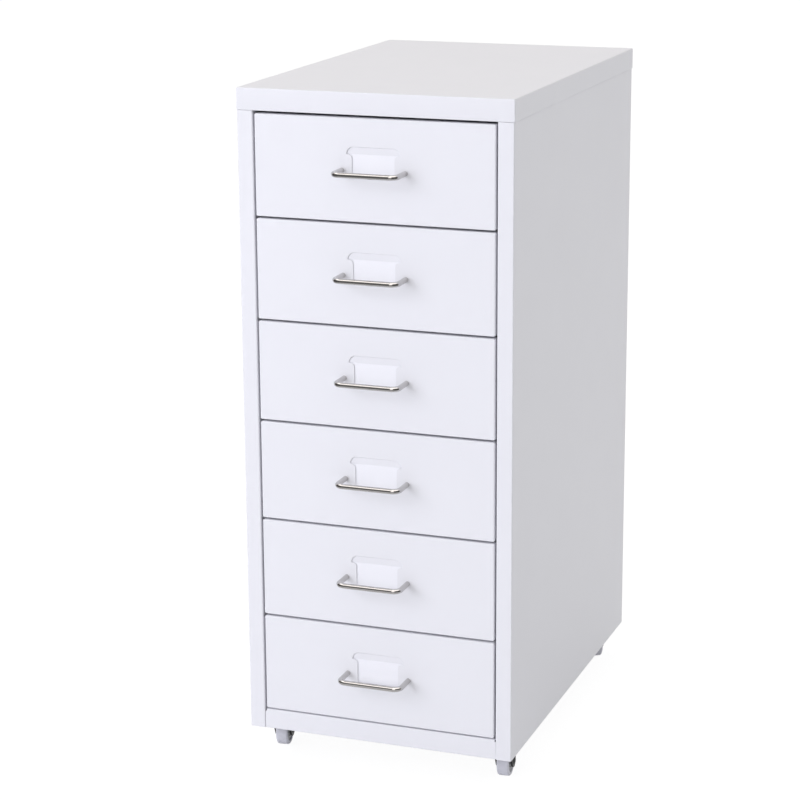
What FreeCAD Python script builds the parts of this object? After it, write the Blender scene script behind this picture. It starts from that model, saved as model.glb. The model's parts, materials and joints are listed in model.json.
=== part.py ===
import FreeCAD, Part
import os
import re
import Sketcher

# Mobile drawer cabinet of folded sheet steel: a lid, two side panels with front stiles, a back panel
# and a bottom pan make the body, which stands on four swivel casters. Six equal drawers slide
# forwards on channel runners. Each has a wire handle and a pressed holder for a label card.
# Millimetres. X runs to the right, Y to the back and Z up. The origin lies on the floor, at the
# middle of the space that the cabinet with its handles takes up.

DRIVING_SIZES = (
    ("width", 280.0, "body: width over the lid"),
    ("depth", 420.0, "body: depth over the lid, without handles"),
    ("height", 690.0, "body: floor to the top of the lid"),
    ("base_height", 36.0, "body: floor to its bottom edge"),
    ("sheet", 0.7, "body: thickness of the steel"),
    ("bend", 1.2, "body: outside radius of a fold"),
    ("lid_skirt", 21.5, "lid: height of its skirt"),
    ("lid_return", 12.0, "lid: fold under the front skirt"),
    ("lid_seam", 0.2, "lid: seam over the stiles"),
    ("stile_width", 16.0, "side panel: front stile"),
    ("stile_return", 14.0, "side panel: fold behind the stile"),
    ("rear_flange", 14.0, "side panel: fold behind the back panel"),
    ("rail_height", 20.6, "bottom pan: front rail"),
    ("rail_seam", 0.15, "bottom pan: seam between rail and stile"),
    ("rail_return", 8.0, "bottom pan: fold under the rail"),
    ("pan_flange", 15.0, "bottom pan: folds at the sides and back"),
    ("fit_gap", 0.3, "clearance between folded pieces"),
    ("screw_diameter", 4.0, "back screws: shank"),
    ("screw_length", 8.0, "back screws: shank length"),
    ("screw_head", 7.5, "back screws: head diameter"),
    ("screw_head_height", 1.3, "back screws: head height"),
    ("screw_spacing", 70.0, "back screws: distance apart"),
    ("screw_play", 0.1, "back screws: clearance in their holes"),
    ("screw_slot", 1.0, "back screws: width of the cross slot"),
    ("caster_rail_rise", 8.0, "caster rail: underside above the bottom edge of the body"),
    ("caster_rail_steel", 1.5, "caster rail: thickness"),
    ("caster_rail_width", 38.0, "caster rail: front to back"),
    ("caster_side", 20.0, "casters: swivel axis from the side of the lid"),
    ("caster_end", 34.0, "casters: swivel axis from the front or back"),
    ("stem_diameter", 8.0, "caster stem: thread"),
    ("stem_head", 11.0, "caster stem: head under the fork"),
    ("stem_head_height", 2.0, "caster stem: height of that head"),
    ("collar_diameter", 15.0, "caster stem: collar under the rail"),
    ("collar_height", 1.2, "caster stem: height of that collar"),
    ("stem_nut", 13.0, "caster nut: width across its flats"),
    ("stem_nut_height", 6.5, "caster nut: height"),
    ("thread_play", 0.05, "nuts: clearance on the thread"),
    ("thread_end", 1.5, "nuts: thread that stands past them"),
    ("race_gap", 0.3, "caster fork: play above and below its crown"),
    ("crown_diameter", 28.0, "caster fork: crown"),
    ("crown_height", 4.0, "caster fork: crown"),
    ("crown_edge", 1.5, "caster fork: rounding of the crown"),
    ("fork_steel", 1.6, "caster fork: thickness of a leg"),
    ("fork_gap", 0.6, "caster fork: leg to tyre"),
    ("leg_front", 8.0, "caster fork: leg ahead of the swivel axis"),
    ("leg_rear", 11.0, "caster fork: leg behind the swivel axis"),
    ("leg_end", 7.0, "caster fork: radius round the axle"),
    ("swivel_play", 0.05, "caster fork: clearance on the stem"),
    ("trail", 14.0, "caster: axle behind the swivel axis"),
    ("wheel_diameter", 32.0, "wheel: tread"),
    ("wheel_width", 12.5, "wheel: tread"),
    ("wheel_shoulder", 2.0, "wheel: rounding of the tread"),
    ("wheel_rim", 3.8, "wheel: height of the rim round its dish"),
    ("wheel_dish", 1.5, "wheel: depth of the dish"),
    ("hub_diameter", 10.0, "wheel: hub"),
    ("hub_gap", 0.25, "wheel: hub to fork leg"),
    ("axle_diameter", 5.0, "axle: shank"),
    ("axle_head", 8.0, "axle: head"),
    ("axle_head_height", 1.2, "axle: head"),
    ("axle_play", 0.05, "axle: clearance in the wheel"),
    ("rivet_play", 0.02, "axle: clearance in the fork"),
    ("turn_front_left", 9.0, "caster as it stands, degrees about its stem"),
    ("turn_front_right", 5.0, "caster as it stands, degrees about its stem"),
    ("turn_rear_left", 18.0, "caster as it stands, degrees about its stem"),
    ("turn_rear_right", 30.0, "caster as it stands, degrees about its stem"),
    ("drawer_count", 6, "drawers: how many, one above the other"),
    ("drawer_gap", 1.8, "drawers: between two fronts"),
    ("top_gap", 2.4, "drawers: top front to lid"),
    ("foot_gap", 1.4, "drawers: bottom front to rail"),
    ("side_gap", 1.9, "drawers: front to stile"),
    ("drawer_sheet", 0.6, "drawers: thickness of the steel"),
    ("front_depth", 13.0, "drawer front: folds to the back"),
    ("front_bend", 1.6, "drawer front: outside radius of its folds"),
    ("tray_lift", 5.0, "tray: above the bottom edge of the front"),
    ("tray_drop", 13.0, "tray: below the top edge of the front"),
    ("tray_space", 26.0, "tray: its end to the back of the lid"),
    ("tray_hold", 104.0, "tray: length left inside when open"),
    ("tray_bend", 1.5, "tray: outside radius along its floor"),
    ("lip_gap", 1.6, "tray lip: to the stile"),
    ("lip_width", 4.6, "tray lip: out from the wall"),
    ("lip_height", 4.4, "tray lip: fold that rides on the runner"),
    ("tab_height", 2.0, "tray tab at the end of the lip: height"),
    ("tab_length", 4.0, "tray tab at the end of the lip: length"),
    ("runner_sheet", 1.0, "runner: thickness of the steel"),
    ("runner_gap", 1.2, "runner: ledge to tray wall"),
    ("glide_gap", 0.3, "runner: ledge to tray lip"),
    ("head_gap", 0.5, "runner: upper ledge to tray tab"),
    ("stop_length", 3.0, "runner: front stop, along the runner"),
    ("stop_gap", 0.3, "runner: stops to tray at both limits"),
    ("handle_span", 64.0, "handle: between its feet"),
    ("handle_reach", 26.0, "handle: drawer front to the middle of the bar"),
    ("handle_bend", 7.0, "handle: middle radius of its bends"),
    ("handle_drop", 0.8, "handle: below the middle of the front"),
    ("wire", 5.4, "handle: diameter of the wire"),
    ("stud_diameter", 4.0, "handle: threaded ends"),
    ("stud_play", 0.2, "handle: clearance of its ends in the front"),
    ("handle_nut", 7.0, "handle nut: width across its flats"),
    ("handle_nut_height", 3.2, "handle nut: height"),
    ("holder_width", 53.4, "label holder: width"),
    ("holder_top", 21.8, "label holder: top above the middle of the front"),
    ("holder_foot", 12.2, "label holder: bottom below the middle of the front"),
    ("holder_depth", 1.4, "label holder: depth of its recess"),
    ("holder_corner", 6.5, "label holder: radius of the upper corners"),
    ("holder_heel", 1.5, "label holder: radius of the lower corners"),
    ("holder_window", 42.8, "label holder: width between its side lips"),
    ("holder_lip_top", 15.0, "label holder: top of its side lips"),
    ("holder_lip_corner", 4.0, "label holder: rounding of the lips"),
    ("holder_sill", 3.5, "label holder: height of its bottom lip"),
    ("holder_play", 0.3, "label holder: clearance round it in the tray"),
    ("card_width", 50.0, "label card: width"),
    ("card_height", 27.0, "label card: height"),
    ("card_thickness", 0.4, "label card: thickness"),
)
SIZE_NAMES = {name for name, number, meaning in DRIVING_SIZES}
NEAR = 0.001

# Places worked out from the sizes, as formulas
FRONT_Y = "((handle_reach + wire / 2 - depth) / 2)"
SIDE_OUTSIDE = "(width / 2 - sheet)"
SIDE_INSIDE = "(width / 2 - 2 * sheet)"
OPENING = "(width / 2 - sheet - stile_width)"
SIDE_BACK = "(depth - sheet)"
BACK_OUTSIDE = "(depth - 2 * sheet)"
BACK_INSIDE = "(depth - 3 * sheet)"
LID_LOW = "(height - lid_skirt)"
STILE_TOP = "(height - lid_skirt - lid_seam)"
RAIL_TOP = "(base_height + rail_height)"
RAIL_HALF = f"({OPENING} - rail_seam)"
BEHIND_STILE = "(stile_return + fit_gap)"
SCREW_Z = f"({RAIL_TOP} - pan_flange / 2)"

RAIL_WEB_LOW = "(base_height + caster_rail_rise)"
RAIL_WEB_TOP = f"({RAIL_WEB_LOW} + caster_rail_steel)"
CROWN_TOP = f"({RAIL_WEB_LOW} - collar_height - race_gap)"
CROWN_LOW = f"({CROWN_TOP} - crown_height)"
STEM_LOW = f"({CROWN_LOW} - race_gap - stem_head_height)"
STEM_TOP = f"({RAIL_WEB_TOP} + stem_nut_height + thread_end)"
CASTER_X = "(width / 2 - caster_side)"
AXLE_Z = "(wheel_diameter / 2)"
FORK_INSIDE = "(wheel_width / 2 + fork_gap)"
FORK_OUTSIDE = f"({FORK_INSIDE} + fork_steel)"

FRONT_HALF = f"({OPENING} - side_gap)"
STACK = f"({LID_LOW} - {RAIL_TOP} - top_gap - foot_gap + drawer_gap)"
FRONT_HEIGHT = f"({STACK} / drawer_count - drawer_gap)"
HANDLE_Z = f"({FRONT_HEIGHT} / 2 - handle_drop)"
TRAY_TOP = f"({FRONT_HEIGHT} - tray_drop)"
LIP_OUTSIDE = f"({OPENING} - lip_gap)"
TRAY_OUTSIDE = f"({LIP_OUTSIDE} - lip_width)"
TRAY_END = "(depth - tray_space)"
LIP_START = "(front_depth + fit_gap)"
RUNNER_LEDGE = f"({TRAY_OUTSIDE} + runner_gap)"
RUNNER_LOW = f"({TRAY_TOP} - lip_height - glide_gap)"
RUNNER_HIGH = f"({TRAY_TOP} + tab_height + head_gap)"
RUNNER_END = f"({TRAY_END} + stop_gap + runner_sheet)"
FRONT_STOP = "(tray_hold - tab_length - stop_gap)"
NUT_SEAT = "(2 * drawer_sheet)"
STUD_END = f"({NUT_SEAT} + handle_nut_height + thread_end)"
HOLDER_HALF = "(holder_width / 2)"
HOLDER_LOW = f"({FRONT_HEIGHT} / 2 - holder_foot)"
HOLDER_HIGH = f"({FRONT_HEIGHT} / 2 + holder_top)"
HOLDER_LIP = f"({FRONT_HEIGHT} / 2 + holder_lip_top)"

SIDES = (("left", -1), ("right", 1))
CASTERS = (
    ("front_left", -1, "caster_end", "turn_front_left"),
    ("front_right", 1, "caster_end", "turn_front_right"),
    ("rear_left", -1, "(depth - caster_end)", "turn_rear_left"),
    ("rear_right", 1, "(depth - caster_end)", "turn_rear_right"),
)

# Which way a plane of a body faces, along the axis that it has left over
PLANE_SIDE = {"XY_Plane": 1, "XZ_Plane": -1, "YZ_Plane": 1}

doc = FreeCAD.newDocument("DrawerCabinet")
sizes = doc.addObject("Spreadsheet::Sheet", "Sizes")
for row, (name, number, meaning) in enumerate(DRIVING_SIZES, start=1):
    sizes.set(f"A{row}", meaning)
    sizes.set(f"B{row}", str(number))
    sizes.setAlias(f"B{row}", name)
doc.recompute()


def bind(formula):
    """Make a formula of size names read the cells of the sheet."""
    return re.sub(r"[a-z][a-z_]+", lambda word: f"Sizes.{word[0]}" if word[0] in SIZE_NAMES else word[0],
                  formula)


def value(formula):
    """Work a formula out in millimetres."""
    return float(sizes.evalExpression(bind(formula)))


def new_body(label, x="0", y=FRONT_Y, z="0", turn=None):
    """Start a sub-part. Its own frame lies at x, y, z and is turned about Z."""
    body = doc.addObject("PartDesign::Body", label)
    body.Label = label
    body.Placement = FreeCAD.Placement(FreeCAD.Vector(), FreeCAD.Rotation(FreeCAD.Vector(0, 0, 1), 1.0))
    for axis, formula in (("x", x), ("y", y), ("z", z)):
        body.setExpression(f"Placement.Base.{axis}", bind(formula))
    body.setExpression("Placement.Rotation.Angle", f"{bind(turn) if turn else 0} * 1 deg")
    return body


def new_sketch(body, plane, at="0", rise="0"):
    """Start a sketch on a plane of the body, moved to a place along the plane's third axis."""
    role = f"{plane}_Plane"
    support = next(item for item in body.Origin.OriginFeatures if item.Role == role)
    sketch = body.newObject("Sketcher::SketchObject", f"{body.Label}_sketch")
    sketch.AttachmentSupport = [(support, "")]
    sketch.MapMode = "FlatFace"
    sketch.setExpression("AttachmentOffset.Base.z", bind(f"{PLANE_SIDE[role]} * {at}"))
    sketch.setExpression("AttachmentOffset.Base.y", bind(rise))
    return sketch


def constrain(sketch, kind, references, number, formula):
    """Add a constraint and tie its size to a formula."""
    index = sketch.addConstraint(Sketcher.Constraint(kind, *references, number))
    sketch.setExpression(f"Constraints[{index}]", bind(formula))


def pin(sketch, geometry, point, place):
    """Hold a point of a sketch at two formulas from the sketch's origin."""
    constrain(sketch, "DistanceX", (-1, 1, geometry, point), value(place[0]), place[0])
    constrain(sketch, "DistanceY", (-1, 1, geometry, point), value(place[1]), place[1])


def vector(place):
    return FreeCAD.Vector(value(place[0]), value(place[1]), 0)


def add_polygon(sketch, corners):
    """Draw a closed outline of straight lines."""
    first = sketch.GeometryCount
    count = len(corners)
    points = [vector(corner) for corner in corners]
    for k in range(count):
        sketch.addGeometry(Part.LineSegment(points[k], points[(k + 1) % count]), False)
    for k in range(count):
        following = first + (k + 1) % count
        sketch.addConstraint(Sketcher.Constraint("Coincident", first + k, 2, following, 1))
        pin(sketch, first + k, 1, corners[k])


def add_box(sketch, left, right, low, high):
    add_polygon(sketch, [(left, low), (right, low), (right, high), (left, high)])


def add_circle(sketch, place, radius):
    circle = Part.Circle(vector(place), FreeCAD.Vector(0, 0, 1), value(radius))
    geometry = sketch.addGeometry(circle, False)
    constrain(sketch, "Radius", (geometry,), value(radius), radius)
    pin(sketch, geometry, 3, place)


def add_arc(sketch, centre, radius, start, end):
    """Draw an arc between two angles, given in right angles."""
    circle = Part.Circle(vector(centre), FreeCAD.Vector(0, 0, 1), value(radius))
    quarter = 1.5707963267948966
    arc = sketch.addGeometry(Part.ArcOfCircle(circle, start * quarter, end * quarter), False)
    constrain(sketch, "Radius", (arc,), value(radius), radius)
    pin(sketch, arc, 3, centre)
    return arc


def add_line(sketch, start, end):
    return sketch.addGeometry(Part.LineSegment(vector(start), vector(end)), False)


def join_smoothly(sketch, first, second):
    """Make one piece of an outline run on from the end of another."""
    sketch.addConstraint(Sketcher.Constraint("Tangent", first, 2, second, 1))


def add_rounded_box(sketch, half, low, high, low_radius, high_radius):
    """Draw a box centred on the sketch's upright axis, with its lower and upper corners rounded."""
    corners = (
        (f"{half} - {low_radius}", f"{low} + {low_radius}", low_radius, -1, 0),
        (f"{half} - {high_radius}", f"{high} - {high_radius}", high_radius, 0, 1),
        (f"{high_radius} - {half}", f"{high} - {high_radius}", high_radius, 1, 2),
        (f"{low_radius} - {half}", f"{low} + {low_radius}", low_radius, 2, 3),
    )
    lines = (
        ((half, f"{low} + {low_radius}"), (half, f"{high} - {high_radius}")),
        ((f"{half} - {high_radius}", high), (f"{high_radius} - {half}", high)),
        ((f"-{half}", f"{high} - {high_radius}"), (f"-{half}", f"{low} + {low_radius}")),
        ((f"{low_radius} - {half}", low), (f"{half} - {low_radius}", low)),
    )
    arcs = [add_arc(sketch, (x, z), radius, start, end) for x, z, radius, start, end in corners]
    edges = [add_line(sketch, start, end) for start, end in lines]
    for k in range(4):
        join_smoothly(sketch, arcs[k], edges[k])
        join_smoothly(sketch, edges[k], arcs[(k + 1) % 4])


def plane_side(sketch):
    return PLANE_SIDE[sketch.AttachmentSupport[0][0].Role]


def pad(sketch, length):
    """Add material from the sketch, in the direction in which its third axis grows."""
    body = sketch.getParentGeoFeatureGroup()
    feature = body.newObject("PartDesign::Pad", f"{body.Label}_pad")
    feature.Profile = sketch
    feature.setExpression("Length", bind(length))
    feature.Reversed = plane_side(sketch) < 0
    return feature


def cut(sketch, length):
    """Take material away from the sketch, in the direction in which its third axis grows."""
    body = sketch.getParentGeoFeatureGroup()
    doc.recompute()
    before = body.Shape.Volume
    feature = body.newObject("PartDesign::Pocket", f"{body.Label}_cut")
    feature.Profile = sketch
    feature.setExpression("Length", bind(length))
    feature.Reversed = plane_side(sketch) > 0
    doc.recompute()
    if not feature.Shape.Volume < before:
        raise RuntimeError(f"a cut in {body.Label} takes nothing away")
    return feature


def lies_at(edge, **places):
    """Tell whether a whole edge lies at the given coordinates of its body."""
    box = edge.BoundBox
    spans = {"x": (box.XMin, box.XMax), "y": (box.YMin, box.YMax), "z": (box.ZMin, box.ZMax)}
    return all(abs(end - place) < NEAR for axis, place in places.items() for end in spans[axis])


def round_off(body, radius, belongs):
    """Round every edge of the body that belongs to the choice."""
    doc.recompute()
    base = body.Tip
    chosen = [f"Edge{k}" for k, edge in enumerate(base.Shape.Edges, start=1) if belongs(edge)]
    feature = body.newObject("PartDesign::Fillet", f"{body.Label}_rounding")
    feature.Base = (base, chosen)
    feature.setExpression("Radius", bind(radius))


def round_edges(body, radius, places):
    """Round every edge that lies at one of the places."""
    round_off(body, radius, lambda edge: any(lies_at(edge, **place) for place in places))


def round_rings(body, radius, ring_radius):
    """Round every circular edge of one size."""
    def belongs(edge):
        return edge.Curve.TypeId == "Part::GeomCircle" and abs(edge.Curve.Radius - ring_radius) < NEAR

    round_off(body, radius, belongs)


def hexagon(x, y, width):
    """Corners of a hexagon, two of its flats level, with a width across its flats."""
    half = f"{width} / 2"
    corner = f"{width} / sqrt(3)"
    steps = (("1", "0"), ("0.5", "1"), ("-0.5", "1"), ("-1", "0"), ("-0.5", "-1"), ("0.5", "-1"))
    return [(f"{x} + {across} * {corner}", f"{y} + {up} * {half}") for across, up in steps]


def cross(x, y, arm, half):
    """Corners of an upright cross, with arms of a length and a half width."""
    steps = ((arm, half), (half, half), (half, arm))
    corners = []
    for across, up in ((1, 1), (-1, 1), (-1, -1), (1, -1)):
        quarter = steps if across == up else steps[::-1]
        corners += [(f"{x} + {across} * {a}", f"{y} + {up} * {b}") for a, b in quarter]
    return corners


def build_top_panel():
    """The lid is an upturned pan. The fold under its front skirt stiffens the opening."""
    lid = new_body("top_panel")
    block = new_sketch(lid, "XY", LID_LOW)
    add_box(block, "-width / 2", "width / 2", "0", "depth")
    pad(block, "lid_skirt")
    hollow = new_sketch(lid, "XY", LID_LOW)
    add_box(hollow, "sheet - width / 2", "width / 2 - sheet", "sheet", "depth - sheet")
    cut(hollow, "lid_skirt - sheet")
    fold = new_sketch(lid, "XY", LID_LOW)
    add_box(fold, f"-{OPENING}", OPENING, "0", "lid_return")
    pad(fold, "sheet")
    half, end, top = value("width / 2"), value("depth"), value("height")
    places = [{"x": side * half, "y": y} for side in (-1, 1) for y in (0, end)]
    places += [{"x": side * half, "z": top} for side in (-1, 1)]
    places += [{"y": y, "z": top} for y in (0, end)]
    round_edges(lid, "bend", places)


def build_side_panel(name, side):
    """A side panel: its front is folded to a stile and back again, its rear to a flange."""
    panel = new_body(f"side_panel_{name}")
    out, inside, opening = (f"{side} * {place}" for place in (SIDE_OUTSIDE, SIDE_INSIDE, OPENING))
    stile_inside = f"{side} * ({OPENING} + sheet)"
    flange_edge = f"{side} * ({SIDE_OUTSIDE} - rear_flange)"
    rear = [(out, SIDE_BACK), (flange_edge, SIDE_BACK), (flange_edge, BACK_OUTSIDE), (inside, BACK_OUTSIDE)]
    stile = [(inside, "sheet"), (stile_inside, "sheet")]
    stile += [(stile_inside, "stile_return"), (opening, "stile_return")]
    lower = new_sketch(panel, "XY", "base_height")
    add_polygon(lower, [(opening, "0"), (out, "0"), *rear, *stile])
    pad(lower, f"{STILE_TOP} - base_height")
    upper = new_sketch(panel, "XY", STILE_TOP)
    add_polygon(upper, [(out, "sheet"), *rear, (inside, "sheet")])
    pad(upper, f"height - sheet - {STILE_TOP}")
    corners = ((SIDE_OUTSIDE, "0"), (SIDE_OUTSIDE, SIDE_BACK), (OPENING, "0"))
    round_edges(panel, "bend", [{"x": side * value(x), "y": value(y)} for x, y in corners])


def screw_places():
    return [(f"{step} * screw_spacing", SCREW_Z) for step in (-1.5, -0.5, 0.5, 1.5)]


def build_back_panel():
    """A flat sheet in front of the side panels' flanges, screwed to the bottom pan at its foot."""
    panel = new_body("back_panel")
    face = new_sketch(panel, "XZ", BACK_INSIDE)
    half = f"({SIDE_INSIDE} - fit_gap)"
    add_box(face, f"-{half}", half, "base_height + fit_gap", "height - sheet - fit_gap")
    pad(face, "sheet")
    holes = new_sketch(panel, "XZ", BACK_INSIDE)
    for place in screw_places():
        add_circle(holes, place, "screw_diameter / 2 + screw_play")
    cut(holes, "sheet")


def build_back_screws():
    """Four pan-head screws with a cross slot."""
    screws = new_body("back_screws")
    shanks = new_sketch(screws, "XZ", f"({BACK_OUTSIDE} - screw_length)")
    heads = new_sketch(screws, "XZ", BACK_OUTSIDE)
    for place in screw_places():
        add_circle(shanks, place, "screw_diameter / 2")
        add_circle(heads, place, "screw_head / 2")
    pad(shanks, "screw_length")
    pad(heads, "screw_head_height")
    slots = new_sketch(screws, "XZ", f"({BACK_OUTSIDE} + screw_head_height / 3)")
    for x, z in screw_places():
        add_polygon(slots, cross(x, z, "screw_head / 4", "screw_slot / 2"))
    cut(slots, "screw_head_height")


def build_bottom_panel():
    """The bottom pan: its floor lies under the drawers, its front is the rail between the stiles."""
    pan = new_body("bottom_panel")
    half = f"{SIDE_INSIDE}"
    floor = new_sketch(pan, "XY", f"({RAIL_TOP} - sheet)")
    right = [(RAIL_HALF, "0"), (RAIL_HALF, BEHIND_STILE), (half, BEHIND_STILE), (half, BACK_INSIDE)]
    left = [(f"-{x}", y) for x, y in reversed(right)]
    add_polygon(floor, right + left)
    pad(floor, "sheet")
    rail = new_sketch(pan, "XZ")
    add_box(rail, f"-{RAIL_HALF}", RAIL_HALF, "base_height", RAIL_TOP)
    pad(rail, "sheet")
    fold = new_sketch(pan, "XY", "base_height")
    add_box(fold, f"-{RAIL_HALF}", RAIL_HALF, "0", "rail_return")
    pad(fold, "sheet")
    flanges = new_sketch(pan, "XY", f"({RAIL_TOP} - pan_flange)")
    add_box(flanges, f"{half} - sheet", half, BEHIND_STILE, BACK_INSIDE)
    add_box(flanges, f"-{half}", f"sheet - {half}", BEHIND_STILE, BACK_INSIDE)
    pad(flanges, "pan_flange")
    rear = new_sketch(pan, "XZ", f"({BACK_INSIDE} - sheet)")
    add_box(rear, f"-{half}", half, f"{RAIL_TOP} - pan_flange", RAIL_TOP)
    pad(rear, "sheet")
    holes = new_sketch(pan, "XZ", f"({BACK_INSIDE} - sheet)")
    for place in screw_places():
        add_circle(holes, place, "screw_diameter / 2 + screw_play")
    cut(holes, "sheet")
    round_edges(pan, "bend", [{"y": 0, "z": value(RAIL_TOP)}, {"y": 0, "z": value("base_height")}])


def build_caster_rail(name, middle):
    """A channel across the underside of the pan, which carries two caster stems."""
    rail = new_body(f"caster_rail_{name}")
    half = f"({SIDE_INSIDE} - sheet - fit_gap)"
    near, far = f"{middle} - caster_rail_width / 2", f"{middle} + caster_rail_width / 2"
    top = f"{RAIL_TOP} - sheet"
    section = new_sketch(rail, "YZ", f"(-{half})")
    add_polygon(section, [
        (near, RAIL_WEB_LOW), (far, RAIL_WEB_LOW), (far, top), (f"{far} - caster_rail_steel", top),
        (f"{far} - caster_rail_steel", RAIL_WEB_TOP), (f"{near} + caster_rail_steel", RAIL_WEB_TOP),
        (f"{near} + caster_rail_steel", top), (near, top),
    ])
    pad(section, f"2 * {half}")
    holes = new_sketch(rail, "XY", RAIL_WEB_LOW)
    for side in (-1, 1):
        add_circle(holes, (f"{side} * {CASTER_X}", middle), "stem_diameter / 2 + stud_play")
    cut(holes, "caster_rail_steel")


def build_caster_stems():
    """Four threaded stems. The fork turns between the head below and the collar under the rail."""
    stems = new_body("caster_stems")
    steps = (
        (STEM_LOW, "stem_diameter / 2", f"{STEM_TOP} - {STEM_LOW}"),
        (STEM_LOW, "stem_head / 2", "stem_head_height"),
        (f"({RAIL_WEB_LOW} - collar_height)", "collar_diameter / 2", "collar_height"),
    )
    for low, radius, length in steps:
        ring = new_sketch(stems, "XY", low)
        for name, side, y, turn in CASTERS:
            add_circle(ring, (f"{side} * {CASTER_X}", y), radius)
        pad(ring, length)


def build_caster_nuts():
    """Four hexagon nuts, which clamp the stems to the caster rails."""
    nuts = new_body("caster_nuts")
    outline = new_sketch(nuts, "XY", RAIL_WEB_TOP)
    for name, side, y, turn in CASTERS:
        centre = f"{side} * {CASTER_X}"
        add_polygon(outline, hexagon(centre, y, "stem_nut"))
        add_circle(outline, (centre, y), "stem_diameter / 2 + thread_play")
    pad(outline, "stem_nut_height")


def caster_body(label, side, y, turn):
    """Start a sub-part of a caster. Its frame stands on the floor, on the swivel axis."""
    return new_body(label, f"{side} * {CASTER_X}", f"{FRONT_Y} + {y}", "0", turn)


def build_fork(name, side, y, turn):
    """The pressed fork: a round crown on the stem and two legs down to the axle behind it."""
    fork = caster_body(f"caster_fork_{name}", side, y, turn)
    crown = new_sketch(fork, "XY", CROWN_LOW)
    add_circle(crown, ("0", "0"), "crown_diameter / 2")
    pad(crown, "crown_height")
    round_edges(fork, "crown_edge", [{"z": value(CROWN_TOP)}])
    for inner in (f"(-{FORK_OUTSIDE})", FORK_INSIDE):
        leg = new_sketch(fork, "YZ", inner)
        leg_top = f"{CROWN_LOW} + crown_height / 2"
        add_polygon(leg, [
            ("-leg_front", leg_top), ("trail - leg_end", AXLE_Z), ("trail + leg_end", AXLE_Z),
            ("leg_rear", CROWN_LOW), ("leg_rear", leg_top),
        ])
        pad(leg, "fork_steel")
        end = new_sketch(fork, "YZ", inner)
        add_circle(end, ("trail", AXLE_Z), "leg_end")
        pad(end, "fork_steel")
    bore = new_sketch(fork, "XY", CROWN_LOW)
    add_circle(bore, ("0", "0"), "stem_diameter / 2 + swivel_play")
    cut(bore, "crown_height")
    holes = new_sketch(fork, "YZ", f"(-{FORK_OUTSIDE})")
    add_circle(holes, ("trail", AXLE_Z), "axle_diameter / 2 + rivet_play")
    cut(holes, f"2 * {FORK_OUTSIDE}")


def build_wheel(name, side, y, turn):
    """The wheel, turned about its axle: tread, dished sides and a hub that runs on the axle."""
    wheel = caster_body(f"caster_wheel_{name}", side, y, turn)
    section = new_sketch(wheel, "XZ", "trail", AXLE_Z)
    rim = f"{AXLE_Z} - wheel_rim"
    half = [
        (f"{FORK_INSIDE} - hub_gap", "axle_diameter / 2 + axle_play"),
        (f"{FORK_INSIDE} - hub_gap", "hub_diameter / 2"),
        ("wheel_width / 2 - wheel_dish", "hub_diameter / 2"),
        ("wheel_width / 2 - wheel_dish", rim),
        ("wheel_width / 2", rim),
        ("wheel_width / 2", AXLE_Z),
    ]
    mirrored = [(f"-({x})", radius) for x, radius in reversed(half)]
    add_polygon(section, half + mirrored)
    turned = wheel.newObject("PartDesign::Revolution", f"{wheel.Label}_turned")
    turned.Profile = section
    turned.ReferenceAxis = (section, ["H_Axis"])
    turned.Angle = 360
    round_rings(wheel, "wheel_shoulder", value(AXLE_Z))


def build_axle(name, side, y, turn):
    """The riveted axle through the fork legs and the wheel."""
    axle = caster_body(f"caster_axle_{name}", side, y, turn)
    steps = (
        (f"(-{FORK_OUTSIDE})", "axle_diameter / 2", f"2 * {FORK_OUTSIDE}"),
        (f"(-{FORK_OUTSIDE} - axle_head_height)", "axle_head / 2", "axle_head_height"),
        (FORK_OUTSIDE, "axle_head / 2", "axle_head_height"),
    )
    for start, radius, length in steps:
        ring = new_sketch(axle, "YZ", start)
        add_circle(ring, ("trail", AXLE_Z), radius)
        pad(ring, length)
    end = value(f"{FORK_OUTSIDE} + axle_head_height")
    round_edges(axle, "axle_head_height / 2", [{"x": -end}, {"x": end}])


def drawer_height(number):
    """Height of the bottom edge of a drawer's front. Number 1 is at the top."""
    return f"{RAIL_TOP} + foot_gap + (drawer_count - {number}) * ({FRONT_HEIGHT} + drawer_gap)"


def drawer_body(label, number):
    """Start a sub-part of a drawer. Its frame lies at the bottom edge of the drawer's front."""
    return new_body(f"{label}_{number}", z=drawer_height(number))


def build_runners(number):
    """Two channel runners on the side panels, with a stop near the front and one at the end."""
    runners = drawer_body("runners", number)
    channel = new_sketch(runners, "XZ", BEHIND_STILE)
    stops = new_sketch(runners, "XZ", f"({FRONT_STOP} - stop_length)")
    ends = new_sketch(runners, "XZ", f"({TRAY_END} + stop_gap)")
    low, high = f"{RUNNER_LOW} - runner_sheet", f"{RUNNER_HIGH} + runner_sheet"
    for name, side in SIDES:
        ledge, wall, web = (
            f"{side} * {place}" for place in (RUNNER_LEDGE, SIDE_INSIDE, f"({SIDE_INSIDE} - runner_sheet)")
        )
        add_polygon(channel, [
            (ledge, low), (wall, low), (wall, high), (ledge, high),
            (ledge, RUNNER_HIGH), (web, RUNNER_HIGH), (web, RUNNER_LOW), (ledge, RUNNER_LOW),
        ])
        add_box(stops, ledge, f"{side} * {LIP_OUTSIDE}", f"{TRAY_TOP} + head_gap", high)
        add_box(ends, ledge, wall, low, high)
    pad(channel, f"{RUNNER_END} - {BEHIND_STILE}")
    pad(stops, "stop_length")
    pad(ends, "runner_sheet")


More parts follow.
